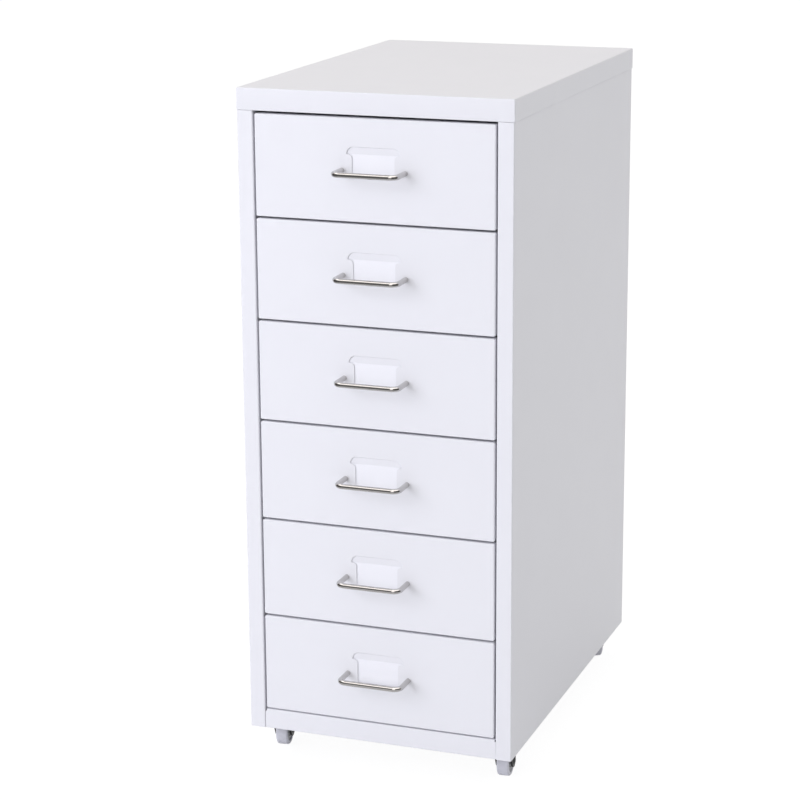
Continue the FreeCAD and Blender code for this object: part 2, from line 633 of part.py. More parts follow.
def build_tray(number):
    """The open tray behind the front. Folded lips along its sides ride in the runners."""
    tray = drawer_body("drawer_tray", number)
    inner = f"({TRAY_OUTSIDE} - drawer_sheet)"
    trough = new_sketch(tray, "XZ", "drawer_sheet")
    right = [(TRAY_OUTSIDE, "tray_lift"), (TRAY_OUTSIDE, TRAY_TOP), (inner, TRAY_TOP)]
    right.append((inner, "tray_lift + drawer_sheet"))
    add_polygon(trough, right + [(f"-{x}", z) for x, z in reversed(right)])
    pad(trough, f"{TRAY_END} - drawer_sheet")
    lips = new_sketch(tray, "XZ", LIP_START)
    tabs = new_sketch(tray, "XZ", f"({TRAY_END} - tab_length)")
    under = f"{TRAY_TOP} - drawer_sheet"
    for name, side in SIDES:
        wall, edge, hem = (
            f"{side} * {place}" for place in (inner, LIP_OUTSIDE, f"({LIP_OUTSIDE} - drawer_sheet)")
        )
        foot = f"{TRAY_TOP} - lip_height"
        lip = [(wall, under), (hem, under), (hem, foot), (edge, foot), (edge, TRAY_TOP), (wall, TRAY_TOP)]
        add_polygon(lips, lip)
        add_box(tabs, wall, edge, under, f"{TRAY_TOP} + tab_height")
    pad(lips, f"{TRAY_END} - {LIP_START}")
    pad(tabs, "tab_length")
    for place in ("drawer_sheet", f"({TRAY_END} - drawer_sheet)"):
        wall = new_sketch(tray, "XZ", place)
        add_box(wall, f"-{TRAY_OUTSIDE}", TRAY_OUTSIDE, "tray_lift", TRAY_TOP)
        pad(wall, "drawer_sheet")
    window = new_sketch(tray, "XZ", "drawer_sheet")
    grown = "(drawer_sheet + holder_play)"
    add_rounded_box(
        window, f"({HOLDER_HALF} + {grown})", f"({HOLDER_LOW} - {grown})", f"({HOLDER_HIGH} + {grown})",
        f"(holder_heel + {grown})", f"(holder_corner + {grown})",
    )
    cut(window, "drawer_sheet")
    cut_stud_holes(tray, "drawer_sheet")
    places = [{"x": side * value(TRAY_OUTSIDE), "z": value("tray_lift")} for name, side in SIDES]
    round_edges(tray, "tray_bend", places)


def cut_stud_holes(body, start):
    """Cut the two holes for the ends of the handle through one sheet of a drawer."""
    holes = new_sketch(body, "XZ", start)
    for name, side in SIDES:
        add_circle(holes, (f"{side} * handle_span / 2", HANDLE_Z), "stud_diameter / 2 + stud_play")
    cut(holes, "drawer_sheet")


def build_front(number):
    """The drawer front: a shallow pan with a pressed recess, whose lips hold the label card."""
    front = drawer_body("drawer_front", number)
    block = new_sketch(front, "XZ")
    add_box(block, f"-{FRONT_HALF}", FRONT_HALF, "0", FRONT_HEIGHT)
    pad(block, "front_depth")
    hollow = new_sketch(front, "XZ", "drawer_sheet")
    half = f"({FRONT_HALF} - drawer_sheet)"
    add_box(hollow, f"-{half}", half, "drawer_sheet", f"{FRONT_HEIGHT} - drawer_sheet")
    cut(hollow, "front_depth")
    wide, high = value(FRONT_HALF), value(FRONT_HEIGHT)
    places = [{"x": x, "z": z} for x in (-wide, wide) for z in (0, high)]
    places += [{"x": x, "y": 0} for x in (-wide, wide)] + [{"z": z, "y": 0} for z in (0, high)]
    round_edges(front, "front_bend", places)
    boss = new_sketch(front, "XZ")
    grown_half, grown_low, grown_high = (
        f"({place} drawer_sheet)" for place in (f"{HOLDER_HALF} +", f"{HOLDER_LOW} -", f"{HOLDER_HIGH} +")
    )
    heel, corner = "(holder_heel + drawer_sheet)", "(holder_corner + drawer_sheet)"
    add_rounded_box(boss, grown_half, grown_low, grown_high, heel, corner)
    pad(boss, "holder_depth + drawer_sheet")
    recess = new_sketch(front, "XZ")
    add_rounded_box(recess, HOLDER_HALF, HOLDER_LOW, HOLDER_HIGH, "holder_heel", "holder_corner")
    cut(recess, "holder_depth")
    lips = new_sketch(front, "XZ")
    window, sill = "holder_window / 2", f"{HOLDER_LOW} + holder_sill"
    right = [(HOLDER_HALF, HOLDER_LOW), (HOLDER_HALF, HOLDER_LIP), (window, HOLDER_LIP), (window, sill)]
    add_polygon(lips, right + [(f"-{x}", z) for x, z in reversed(right)])
    pad(lips, "drawer_sheet")
    tips = [{"x": side * value(window), "z": value(HOLDER_LIP)} for name, side in SIDES]
    round_edges(front, "holder_lip_corner", tips)
    cut_stud_holes(front, "0")


def build_card(number):
    """The blank card, which rests on the back of the recess behind the lips."""
    card = drawer_body("label_card", number)
    face = new_sketch(card, "XZ", "(holder_depth - card_thickness)")
    low = f"{HOLDER_LOW} + fit_gap"
    add_box(face, "-card_width / 2", "card_width / 2", low, f"{low} + card_height")
    pad(face, "card_thickness")


def build_handle(number):
    """The handle: one bent wire with threaded ends, which pass through the front and the tray."""
    handle = drawer_body("drawer_handle", number)
    left, right = "-handle_span / 2", "handle_span / 2"
    section = new_sketch(handle, "XZ")
    add_circle(section, (left, HANDLE_Z), "wire / 2")
    route = new_sketch(handle, "XY", HANDLE_Z)
    turn = "handle_bend - handle_reach"
    leg_left = add_line(route, (left, "0"), (left, turn))
    bend_left = add_arc(route, (f"{left} + handle_bend", turn), "handle_bend", 2, 3)
    bar_ends = [(place, "-handle_reach") for place in (f"{left} + handle_bend", f"{right} - handle_bend")]
    bar = add_line(route, *bar_ends)
    bend_right = add_arc(route, (f"{right} - handle_bend", turn), "handle_bend", 3, 4)
    leg_right = add_line(route, (right, turn), (right, "0"))
    pieces = (leg_left, bend_left, bar, bend_right, leg_right)
    for first, second in zip(pieces, pieces[1:]):
        join_smoothly(route, first, second)
    pin(route, leg_left, 1, (left, "0"))
    pin(route, leg_right, 2, (right, "0"))
    wire = handle.newObject("PartDesign::AdditivePipe", f"{handle.Label}_wire")
    wire.Profile = section
    wire.Spine = (route, [])
    studs = new_sketch(handle, "XZ")
    for x in (left, right):
        add_circle(studs, (x, HANDLE_Z), "stud_diameter / 2")
    pad(studs, STUD_END)


def build_handle_nuts(number):
    """Two hexagon nuts inside the drawer, which clamp the handle, the front and the tray."""
    nuts = drawer_body("handle_nuts", number)
    outline = new_sketch(nuts, "XZ", NUT_SEAT)
    for name, side in SIDES:
        centre = f"{side} * handle_span / 2"
        add_polygon(outline, hexagon(centre, HANDLE_Z, "handle_nut"))
        add_circle(outline, (centre, HANDLE_Z), "stud_diameter / 2 + thread_play")
    pad(outline, "handle_nut_height")


def build_cabinet():
    build_top_panel()
    for name, side in SIDES:
        build_side_panel(name, side)
    build_back_panel()
    build_back_screws()
    build_bottom_panel()
    build_caster_rail("front", "caster_end")
    build_caster_rail("rear", "(depth - caster_end)")
    build_caster_stems()
    build_caster_nuts()
    for caster in CASTERS:
        build_fork(*caster)
        build_wheel(*caster)
        build_axle(*caster)
    for number in range(1, int(value("drawer_count")) + 1):
        build_runners(number)
        build_tray(number)
        build_front(number)
        build_card(number)
        build_handle(number)
        build_handle_nuts(number)
    doc.recompute()


def write_pieces():
    """Check every object and every sub-part's shape, then write one file for each sub-part."""
    for item in doc.Objects:
        if {"Invalid", "Error"} & set(item.State):
            raise RuntimeError(f"{item.Label} failed: {item.State}")
    pieces = [item for item in doc.Objects if item.TypeId == "PartDesign::Body"]
    for piece in pieces:
        if piece.Shape.isNull() or not piece.Shape.isValid() or not piece.Shape.Solids:
            raise RuntimeError(f"{piece.Label} has no valid solid")
    os.makedirs("parts", exist_ok=True)
    for piece in pieces:
        piece.Shape.exportStep(f"parts/{piece.Label}.step")
    print(f"wrote {len(pieces)} sub-parts")


build_cabinet()
write_pieces()
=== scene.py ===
"""Looks of a mobile drawer cabinet: folded sheet steel, wire handles and small swivel casters."""

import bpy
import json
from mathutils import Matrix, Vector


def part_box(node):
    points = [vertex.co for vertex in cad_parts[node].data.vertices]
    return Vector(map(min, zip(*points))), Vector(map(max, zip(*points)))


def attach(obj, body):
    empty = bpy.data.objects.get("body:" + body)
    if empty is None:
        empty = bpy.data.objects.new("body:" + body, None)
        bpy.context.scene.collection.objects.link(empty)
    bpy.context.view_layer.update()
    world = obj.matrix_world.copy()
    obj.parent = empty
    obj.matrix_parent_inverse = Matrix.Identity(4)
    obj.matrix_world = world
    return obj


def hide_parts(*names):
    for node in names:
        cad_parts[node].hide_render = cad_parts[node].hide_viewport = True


bl_info = {
    "name": "Mobile Drawer Cabinet",
    "version": (1, 0, 0),
    "blender": (4, 5, 0),
    "location": "View3D > Sidebar > Cabinet",
    "description": "Builds the finished surfaces of a sheet-steel drawer cabinet on casters",
    "category": "Object",
}

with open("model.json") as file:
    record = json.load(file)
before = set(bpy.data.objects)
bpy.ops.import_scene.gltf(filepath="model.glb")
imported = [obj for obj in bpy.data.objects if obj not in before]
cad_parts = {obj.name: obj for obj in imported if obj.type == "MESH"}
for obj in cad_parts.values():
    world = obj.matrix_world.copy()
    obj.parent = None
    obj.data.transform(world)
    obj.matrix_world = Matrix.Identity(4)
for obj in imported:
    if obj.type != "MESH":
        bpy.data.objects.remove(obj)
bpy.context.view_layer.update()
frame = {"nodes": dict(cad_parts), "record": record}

import json
import math

import bpy
import numpy as np
from mathutils import Matrix, Vector

MM = 0.001
JOINTS = {joint["name"]: joint for joint in frame["record"]["behaviour"]["joints"]}
DRAWERS = sorted(int(name.rsplit("_", 1)[1]) for name in frame["nodes"] if name.startswith("drawer_front_"))
CASTERS = sorted(name.removeprefix("caster_fork_") for name in frame["nodes"]
                 if name.startswith("caster_fork_"))
SIDES = {"left": -1, "right": 1}

# The finishes, by the names of their materials.
PAINT = "Powder-coated steel"
CHROME = "Chromed steel wire"
ZINC = "Zinc-plated steel"
LACQUER = "Black lacquered steel"
TREAD = "Polyurethane tread"
HUB = "Polypropylene wheel centre"
CARD = "Uncoated card"
WHITE = "#FFFFFF"

# A guard point lies this far outside each end of a curve, so that the flat beside it is shaded evenly.
GUARD = 0.3 * MM
# Edges that turn by more than this are drawn sharp.
SHARP_EDGE = math.radians(35)


def corners(node):
    """Lowest and highest corner of a node of the frame, as arrays in metres."""
    low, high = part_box(node)
    return np.array(low), np.array(high)


# Shapes. A shell is a pair: an array of points, and a list of faces that index them.

def unit(vectors):
    """Each row of an array divided by its length."""
    return vectors / np.linalg.norm(vectors, axis=-1, keepdims=True)


def left_of(vectors):
    """Plane vectors turned a quarter turn anticlockwise: (x, y) becomes (-y, x)."""
    return np.stack((-vectors[..., 1], vectors[..., 0]), axis=-1)


def quarter(steps):
    """Sine and one minus cosine of the angles from 0 to 90 degrees."""
    angles = np.linspace(0, math.pi / 2, steps + 1)
    return np.sin(angles), 1 - np.cos(angles)


def bent(points, radius, closed=False, steps=6):
    """A line through plane points with each corner rounded to an arc that touches both its runs.

    An arc starts radius times tan(turn / 2) before its corner, and has a guard point outside each end. A
    corner with no radius stays one point.
    """
    points = np.asarray(points, float)
    radii = np.broadcast_to(radius, len(points))
    pieces = []
    for k, (here, r) in enumerate(zip(points, radii)):
        at_end = not closed and k in (0, len(points) - 1)
        if at_end or r <= 0:
            pieces.append(here[None])
            continue
        into = unit(here - points[k - 1])
        out = unit(points[(k + 1) % len(points)] - here)
        turn = math.atan2(into[0] * out[1] - into[1] * out[0], into @ out)
        centre = here - into * abs(r * math.tan(turn / 2)) + math.copysign(r, turn) * left_of(into)
        angles = np.linspace(0, turn, steps + 1)[:, None] - math.copysign(math.pi / 2, turn)
        arc = centre + r * (np.cos(angles) * into + np.sin(angles) * left_of(into))
        pieces += [arc[:1] - into * GUARD, arc, arc[-1:] + out * GUARD]
    return np.concatenate(pieces)


def shifted(line, distance, closed=False):
    """A plane line moved to its left by a distance, or by one distance for each point.

    A point moves along its mitre, by that distance over the cosine of half the turn there.
    """
    ahead = unit(np.roll(line, -1, axis=0) - line)
    if not closed:
        ahead[-1] = ahead[-2]
    behind = np.roll(ahead, 1, axis=0)
    if not closed:
        behind[0] = ahead[0]
    mitre = unit(left_of(ahead + behind))
    stretch = np.sum(mitre * left_of(ahead), axis=1, keepdims=True)
    return line + np.reshape(distance, (-1, 1)) * mitre / stretch


def folded(line, thickness, bend, capped=True):
    """The outline of a sheet folded along a line through its middle, with half round ends.

    Both sides are the line shifted by half the thickness, and each fold has the outside radius bend. Without
    the cap, the outline leaves out its round start.
    """
    half = thickness / 2
    middle = bent(line, bend - half)
    ahead = unit(middle[-1] - middle[-2])
    back = unit(middle[0] - middle[1])
    middle[-1] -= half * ahead
    middle[0] -= half * back
    angles = np.linspace(math.pi / 2, -math.pi / 2, 5)[1:-1, None]
    far, near = (
        tip + half * (np.cos(angles) * way + np.sin(angles) * left_of(way))
        for tip, way in ((middle[-1], ahead), (middle[0], back))
    )
    sides = (shifted(middle, half), far, shifted(middle, -half)[::-1])
    return np.concatenate((*sides, near) if capped else sides)


def box_line(low, high, radius):
    """A rectangle between two plane corners, with its corners rounded, as a closed line."""
    (left, bottom), (right, top) = low, high
    corners_around = [(right, bottom), (right, top), (left, top), (left, bottom)]
    return bent(corners_around, radius, closed=True, steps=5)


def mirrored_line(right, radii):
    """A closed line through points of the right side, from low to high, and their images on the left."""
    right = np.asarray(right, float)
    radii = np.asarray(radii, float)
    points = np.concatenate((right, right[::-1] * [-1, 1]))
    return bent(points, np.concatenate((radii, radii[::-1])), closed=True)


def in_space(plane_points, along, axis):
    """Plane points placed in space, at a distance along an axis. The plane's axes are the other two."""
    along = np.broadcast_to(along, len(plane_points))
    return np.insert(plane_points, "xyz".index(axis), along, axis=1)


def loft(loops, ring=False):
    """A closed shell over a stack of closed loops with as many points each.

    Quads join neighbouring loops. The first and last loop are closed by a flat face, or joined to each other.
    """
    loops = np.asarray(loops)
    rows, columns = loops.shape[:2]
    row = np.arange(rows if ring else rows - 1)[:, None]
    column = np.arange(columns)[None]
    here = row * columns
    there = (row + 1) % rows * columns
    beside = (column + 1) % columns
    quads = np.stack((here + column, here + beside, there + beside, there + column), axis=-1)
    faces = quads.reshape(-1, 4).tolist()
    if not ring:
        faces += [list(range(columns))[::-1], list(range((rows - 1) * columns, rows * columns))]
    return loops.reshape(-1, 3), faces


def prism(outline, low, high, axis, edge=0.12 * MM):
    """A closed outline carried along an axis from low to high, its end edges broken by a small chamfer."""
    area = np.sum(outline[:, 0] * np.roll(outline[:, 1], -1) - outline[:, 1] * np.roll(outline[:, 0], -1))
    inside = shifted(outline, math.copysign(edge, area), closed=True)
    stations = ((inside, low), (outline, low + edge), (outline, high - edge), (inside, high))
    return loft([in_space(line, along, axis) for line, along in stations])


def strip(line, edges, thickness, bend):
    """A sheet folded along a line in the plane of Y and Z, from one edge in X to the other.

    Edges are (length along the line, left X, right X) rows. Each point of the folded line carries a section
    across the sheet, set square to the line: a flat box between the edges at its length, with a point for
    each row where an edge steps.
    """
    middle = bent(line, bend - thickness / 2)
    lengths = np.concatenate(([0], np.cumsum(np.linalg.norm(np.diff(middle, axis=0), axis=1))))
    at, left, right = np.asarray(edges).T
    every = np.union1d(lengths, at[(at > 0) & (at < lengths[-1])])
    middle = np.stack([np.interp(every, lengths, middle[:, k]) for k in (0, 1)], axis=1)
    normal = left_of(unit(np.gradient(middle, axis=0))) * thickness / 2
    ends = [np.interp(every, at, edge)[:, None] for edge in (left, right)]
    sections = ((1, -1), (1, 1), (0, 1), (0, -1))
    sides = [np.concatenate((ends[end], middle + face * normal), axis=1) for end, face in sections]
    return loft(np.stack(sides, axis=1))


def turned(profile, centre, axis, steps, ring=False):
    """A profile of (radius, distance along the axis) points carried round an axis in space."""
    axis = unit(np.asarray(axis, float))
    across = unit(np.cross(axis, [0, 0, 1] if abs(axis[2]) < 0.9 else [1, 0, 0]))
    up = np.cross(axis, across)
    angles = np.linspace(0, 2 * math.pi, steps, endpoint=False)[:, None]
    spokes = np.cos(angles) * across + np.sin(angles) * up
    radius, along = np.asarray(profile, float).T[:, :, None, None]
    return loft(np.asarray(centre) + along * axis + radius * spokes, ring)


def tube(path, radius, normal, steps):
    """A round wire along a path in a plane: circles square to the path's direction at each point."""
    ahead = np.diff(path, axis=0, append=path[-1:])
    ahead[-1] = ahead[-2]
    along = unit(unit(ahead) + unit(np.concatenate((ahead[:1], ahead[:-1]))))
    side = np.cross(along, normal)[:, None]
    angles = np.linspace(0, 2 * math.pi, steps, endpoint=False)[None, :, None]
    return loft(path[:, None] + radius * (np.cos(angles) * side + np.sin(angles) * np.asarray(normal, float)))


def moved(shell, origin, x_axis, y_axis):
    """A shell made in a frame of its own, placed by that frame's origin, X axis and Y axis."""
    points, faces = shell
    x_axis, y_axis = np.asarray(x_axis, float), np.asarray(y_axis, float)
    axes = np.stack((x_axis, y_axis, np.cross(x_axis, y_axis)))
    return points @ axes + origin, faces


def outward(shell):
    """The shell with its faces turned outwards: the signed volume under its triangles is then positive."""
    points, faces = shell
    first = np.concatenate([np.full(len(face) - 2, face[0]) for face in faces])
    second = np.concatenate([face[1:-1] for face in faces])
    third = np.concatenate([face[2:] for face in faces])
    middle = points.mean(axis=0)
    one, two, three = (points[which] - middle for which in (first, second, third))
    volume = np.sum(one * np.cross(two, three))
    return (points, faces) if volume > 0 else (points, [face[::-1] for face in faces])


def piece(name, shells, finish, body, replaced):
    """Make one mesh object of closed shells, which rides on a body and stands for a node of the frame.

    Finish is one for all the shells, or a list with one for each.
    """
    shells = [outward(shell) for shell in shells]
    starts = np.cumsum([0] + [len(shell[0]) for shell in shells]).tolist()
    points = np.concatenate([shell[0] for shell in shells])
    faces = [[index + start for index in face] for start, shell in zip(starts, shells) for face in shell[1]]
    mesh = bpy.data.meshes.new(name)
    mesh.from_pydata(points, [], faces)
    finishes = finish if isinstance(finish, list) else [finish] * len(shells)
    used = list(dict.fromkeys(finishes))
    for one in used:
        mesh.materials.append(material_of(one))
    indices = [used.index(one) for one, shell in zip(finishes, shells) for face in shell[1]]
    mesh.polygons.foreach_set("material_index", indices)
    mesh.polygons.foreach_set("use_smooth", [True] * len(faces))
    mesh.set_sharp_from_angle(angle=SHARP_EDGE)
    made = bpy.data.objects.new(name, mesh)
    bpy.context.scene.collection.objects.link(made)
    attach(made, body)
    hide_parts(replaced)


# Materials

def linear(code):
    """A hex colour code turned from sRGB to the linear values that shaders take."""
    share = np.array([int(code[k:k + 2], 16) for k in (1, 3, 5)]) / 255
    return (*np.where(share <= 0.04045, share / 12.92, ((share + 0.055) / 1.055) ** 2.4).tolist(), 1.0)


def add(tree, kind, inputs=None, **settings):
    """Add a node with its settings. An input is a value, or another node's output to link."""
    made = tree.nodes.new(kind)
    for key, setting in settings.items():
        setattr(made, key, setting)
    for socket, given in (inputs or {}).items():
        if isinstance(given, bpy.types.NodeSocket):
            tree.links.new(given, made.inputs[socket])
        else:
            made.inputs[socket].default_value = given
    return made


def new_material(name):
    """An empty material and its node tree."""
    material = bpy.data.materials.new(name)
    material.use_nodes = True
    material.node_tree.nodes.clear()
    return material, material.node_tree


def finish_surface(tree, shader_inputs):
    """Add the shader with its inputs, and the output."""
    shader = add(tree, "ShaderNodeBsdfPrincipled", shader_inputs)
    add(tree, "ShaderNodeOutputMaterial", {"Surface": shader.outputs["BSDF"]})


def place_on(tree):
    """The piece's own coordinates, in metres."""
    return add(tree, "ShaderNodeTexCoord").outputs["Object"]


def noise(tree, place, size, detail=2.0, roughness=0.5):
    """Noise whose lumps are about as large as size, in metres."""
    made = add(tree, "ShaderNodeTexNoise", {"Vector": place, "Scale": 1 / size, "Detail": detail,
                                            "Roughness": roughness})
    return made.outputs["Fac"]


def between(tree, share, low, high):
    """A number that goes from low to high as share goes from 0 to 1."""
    return add(tree, "ShaderNodeMapRange", {"Value": share, "To Min": low, "To Max": high}).outputs["Result"]


def ramp(tree, value, start, end):
    """A share that rises smoothly from 0 to 1 as the value goes from start to end."""
    made = add(tree, "ShaderNodeMapRange", {"Value": value, "From Min": start, "From Max": end},
               interpolation_type="SMOOTHSTEP")
    return made.outputs["Result"]


def stepped(tree, value, level, steps):
    """A level that changes in smooth steps: each is where it starts, where it ends and what it adds."""
    for start, end, rise in steps:
        level = add(tree, "ShaderNodeMath", {0: ramp(tree, value, start, end), 1: rise, 2: level},
                    operation="MULTIPLY_ADD").outputs[0]
    return level


def blend(tree, share, first, second):
    """A colour between two hex colours."""
    made = add(tree, "ShaderNodeMix", data_type="RGBA")
    tree.links.new(share, made.inputs["Factor"])
    made.inputs["A"].default_value = linear(first)
    made.inputs["B"].default_value = linear(second)
    return made.outputs["Result"]


def bumps(tree, height, depth):
    """Surface normals for a height pattern that is as deep as depth, in metres."""
    made = add(tree, "ShaderNodeBump", {"Height": height, "Distance": depth, "Strength": 1.0})
    return made.outputs["Normal"]


def powder_coated_steel(name, colour, shade):
    """Steel sprayed with polyester powder and baked: satin, with a soft orange peel and hardly any mottle."""
    material, tree = new_material(name)
    place = place_on(tree)
    # Orange peel is about 1.5 mm across. It is drawn at 4 mm, because it would be finer than a pixel.
    peel = noise(tree, place, 4 * MM, detail=1.0)
    mottle = noise(tree, place, 90 * MM)
    finish_surface(tree, {
        "Base Color": blend(tree, mottle, colour, shade),
        "Roughness": between(tree, noise(tree, place, 25 * MM), 0.36, 0.44),
        "IOR": 1.5,
        "Normal": bumps(tree, peel, 0.012 * MM),
    })
    return material


def chromed_steel(name, colour):
    """Drawn wire with polished chrome plate: a mirror with faint drawing lines left in it."""
    material, tree = new_material(name)
    place = place_on(tree)
    finish_surface(tree, {
        "Base Color": linear(colour),
        "Metallic": 1.0,
        "Roughness": between(tree, noise(tree, place, 3 * MM), 0.05, 0.11),
        "Normal": bumps(tree, noise(tree, place, 6 * MM), 0.01 * MM),
    })
    return material


def zinc_plated_steel(name, colour, shade):
    """Bright zinc plate on pressed steel: a dull metal with cloudy patches a few millimetres across."""
    material, tree = new_material(name)
    place = place_on(tree)
    cloud = noise(tree, place, 7 * MM, detail=3.0)
    finish_surface(tree, {
        "Base Color": blend(tree, cloud, colour, shade),
        "Metallic": 1.0,
        "Roughness": between(tree, cloud, 0.28, 0.42),
        "Normal": bumps(tree, noise(tree, place, 1.5 * MM), 0.01 * MM),
    })
    return material


def black_lacquered_steel(name, colour, shade):
    """Pressed steel dipped in black lacquer: half glossy, a little thinner and browner in patches."""
    material, tree = new_material(name)
    place = place_on(tree)
    finish_surface(tree, {
        "Base Color": blend(tree, noise(tree, place, 9 * MM, detail=3.0), colour, shade),
        "Roughness": between(tree, noise(tree, place, 5 * MM), 0.3, 0.42),
        "IOR": 1.5,
        "Normal": bumps(tree, noise(tree, place, 2 * MM), 0.02 * MM),
    })
    return material


def moulded_polymer(name, colour, shade, roughness, grain):
    """Injection-moulded polymer: matt, with the fine spark-eroded grain of its mould and slight soiling."""
    material, tree = new_material(name)
    place = place_on(tree)
    finish_surface(tree, {
        "Base Color": blend(tree, noise(tree, place, 12 * MM, detail=4.0), colour, shade),
        "Roughness": between(tree, noise(tree, place, 4 * MM), roughness - 0.06, roughness + 0.06),
        "IOR": 1.5,
        "Normal": bumps(tree, noise(tree, place, grain), 0.03 * MM),
    })
    return material


def uncoated_card(name, colour, shade):
    """Uncoated white card of about 300 grams a square metre: quite matt, with a fine tooth of fibres."""
    material, tree = new_material(name)
    place = place_on(tree)
    fibres = noise(tree, place, 1.2 * MM, detail=4.0, roughness=0.65)
    finish_surface(tree, {
        "Base Color": blend(tree, fibres, colour, shade),
        "Roughness": 0.85,
        "IOR": 1.45,
        "Normal": bumps(tree, fibres, 0.02 * MM),
    })
    return material


def material_of(finish):
    """The material of a finish, made on its first use from the settings of the scene."""
    colours = bpy.context.scene.cabinet_finish
    tread_roughness, tread_grain = 0.5, 2 * MM
    hub_roughness, hub_grain = 0.4, 1 * MM
    makers = {
        PAINT: (powder_coated_steel, colours.paint, colours.paint_shade),
        CHROME: (chromed_steel, colours.chrome),
        ZINC: (zinc_plated_steel, colours.zinc, colours.zinc_shade),
        LACQUER: (black_lacquered_steel, colours.lacquer, colours.lacquer_shade),
        TREAD: (moulded_polymer, colours.tread, colours.tread_shade, tread_roughness, tread_grain),
        HUB: (moulded_polymer, colours.hub, colours.hub_shade, hub_roughness, hub_grain),
        CARD: (uncoated_card, colours.card, colours.card_shade),
    }
    make, *looks = makers[finish]
    return bpy.data.materials.get(finish) or make(finish, *looks)


def finish_node(node, finish):
    """Give a node of the frame that stays in view its material."""
    part = frame["nodes"][node]
    part.data.materials.clear()
    part.data.materials.append(material_of(finish))


class CabinetFinish(bpy.types.PropertyGroup):
    """Colours of the finishes, as hex codes in sRGB."""

    paint: bpy.props.StringProperty(name="Paint", description="Powder coat", default="#EEEEF3")
    paint_shade: bpy.props.StringProperty(name="Paint shade", description="Its mottle", default="#ECECF1")
    chrome: bpy.props.StringProperty(name="Chrome", description="Handles", default="#C3C1C0")
    zinc: bpy.props.StringProperty(name="Zinc", description="Screws, nuts and rails", default="#B4B8BC")
    zinc_shade: bpy.props.StringProperty(name="Zinc shade", description="Its clouds", default="#9DA1A3")
    lacquer: bpy.props.StringProperty(
        name="Lacquer", description="Caster forks and axles", default="#17171A")
    lacquer_shade: bpy.props.StringProperty(
        name="Lacquer shade", description="Its thin patches", default="#211F1F")
    tread: bpy.props.StringProperty(name="Tread", description="Wheel treads", default="#E6E6F0")
    tread_shade: bpy.props.StringProperty(name="Tread shade", description="Its soiling", default="#DADAE2")
    hub: bpy.props.StringProperty(name="Wheel centre", description="Wheel centres", default="#C0C1C5")
    hub_shade: bpy.props.StringProperty(
        name="Wheel centre shade", description="Its soiling", default="#B2B3B6")
    card: bpy.props.StringProperty(name="Card", description="Label cards", default="#F8F8FD")
    card_shade: bpy.props.StringProperty(name="Card shade", description="Its fibres", default="#F3F3F9")


class CabinetSheet(bpy.types.PropertyGroup):
    """Sizes of the folded steel."""

    thickness: bpy.props.FloatProperty(
        name="Sheet", description="Thickness of the carcass steel", default=0.7 * MM, unit="LENGTH")
    bend: bpy.props.FloatProperty(
        name="Bend", description="Outside radius of the carcass folds", default=1.2 * MM, unit="LENGTH")
    fold_depth: bpy.props.FloatProperty(
        name="Fold", description="Depth of the folds behind stiles and flanges", default=14 * MM,
        unit="LENGTH")
    small_fold: bpy.props.FloatProperty(
        name="Small fold", description="Depth of the fold under the bottom rail", default=8 * MM,
        unit="LENGTH")
    rail_seam: bpy.props.FloatVectorProperty(
        name="Rail seam",
        description="Seams between the bottom rail and the left and right stile. A negative one is welded",
        size=2, default=(0.6 * MM, -0.3 * MM), unit="LENGTH")
    pan_flange: bpy.props.FloatProperty(
        name="Pan flange", description="Height of the folds round the bottom pan", default=15 * MM,
        unit="LENGTH")
    lid_fold: bpy.props.FloatProperty(
        name="Lid fold", description="Depth of the fold under the front skirt of the lid", default=12 * MM,
        unit="LENGTH")
    rail_steel: bpy.props.FloatProperty(
        name="Rail steel", description="Thickness of the rails that carry the casters", default=1.5 * MM,
        unit="LENGTH")
    runner_steel: bpy.props.FloatProperty(
        name="Runner steel", description="Thickness of the drawer runners", default=1 * MM, unit="LENGTH")


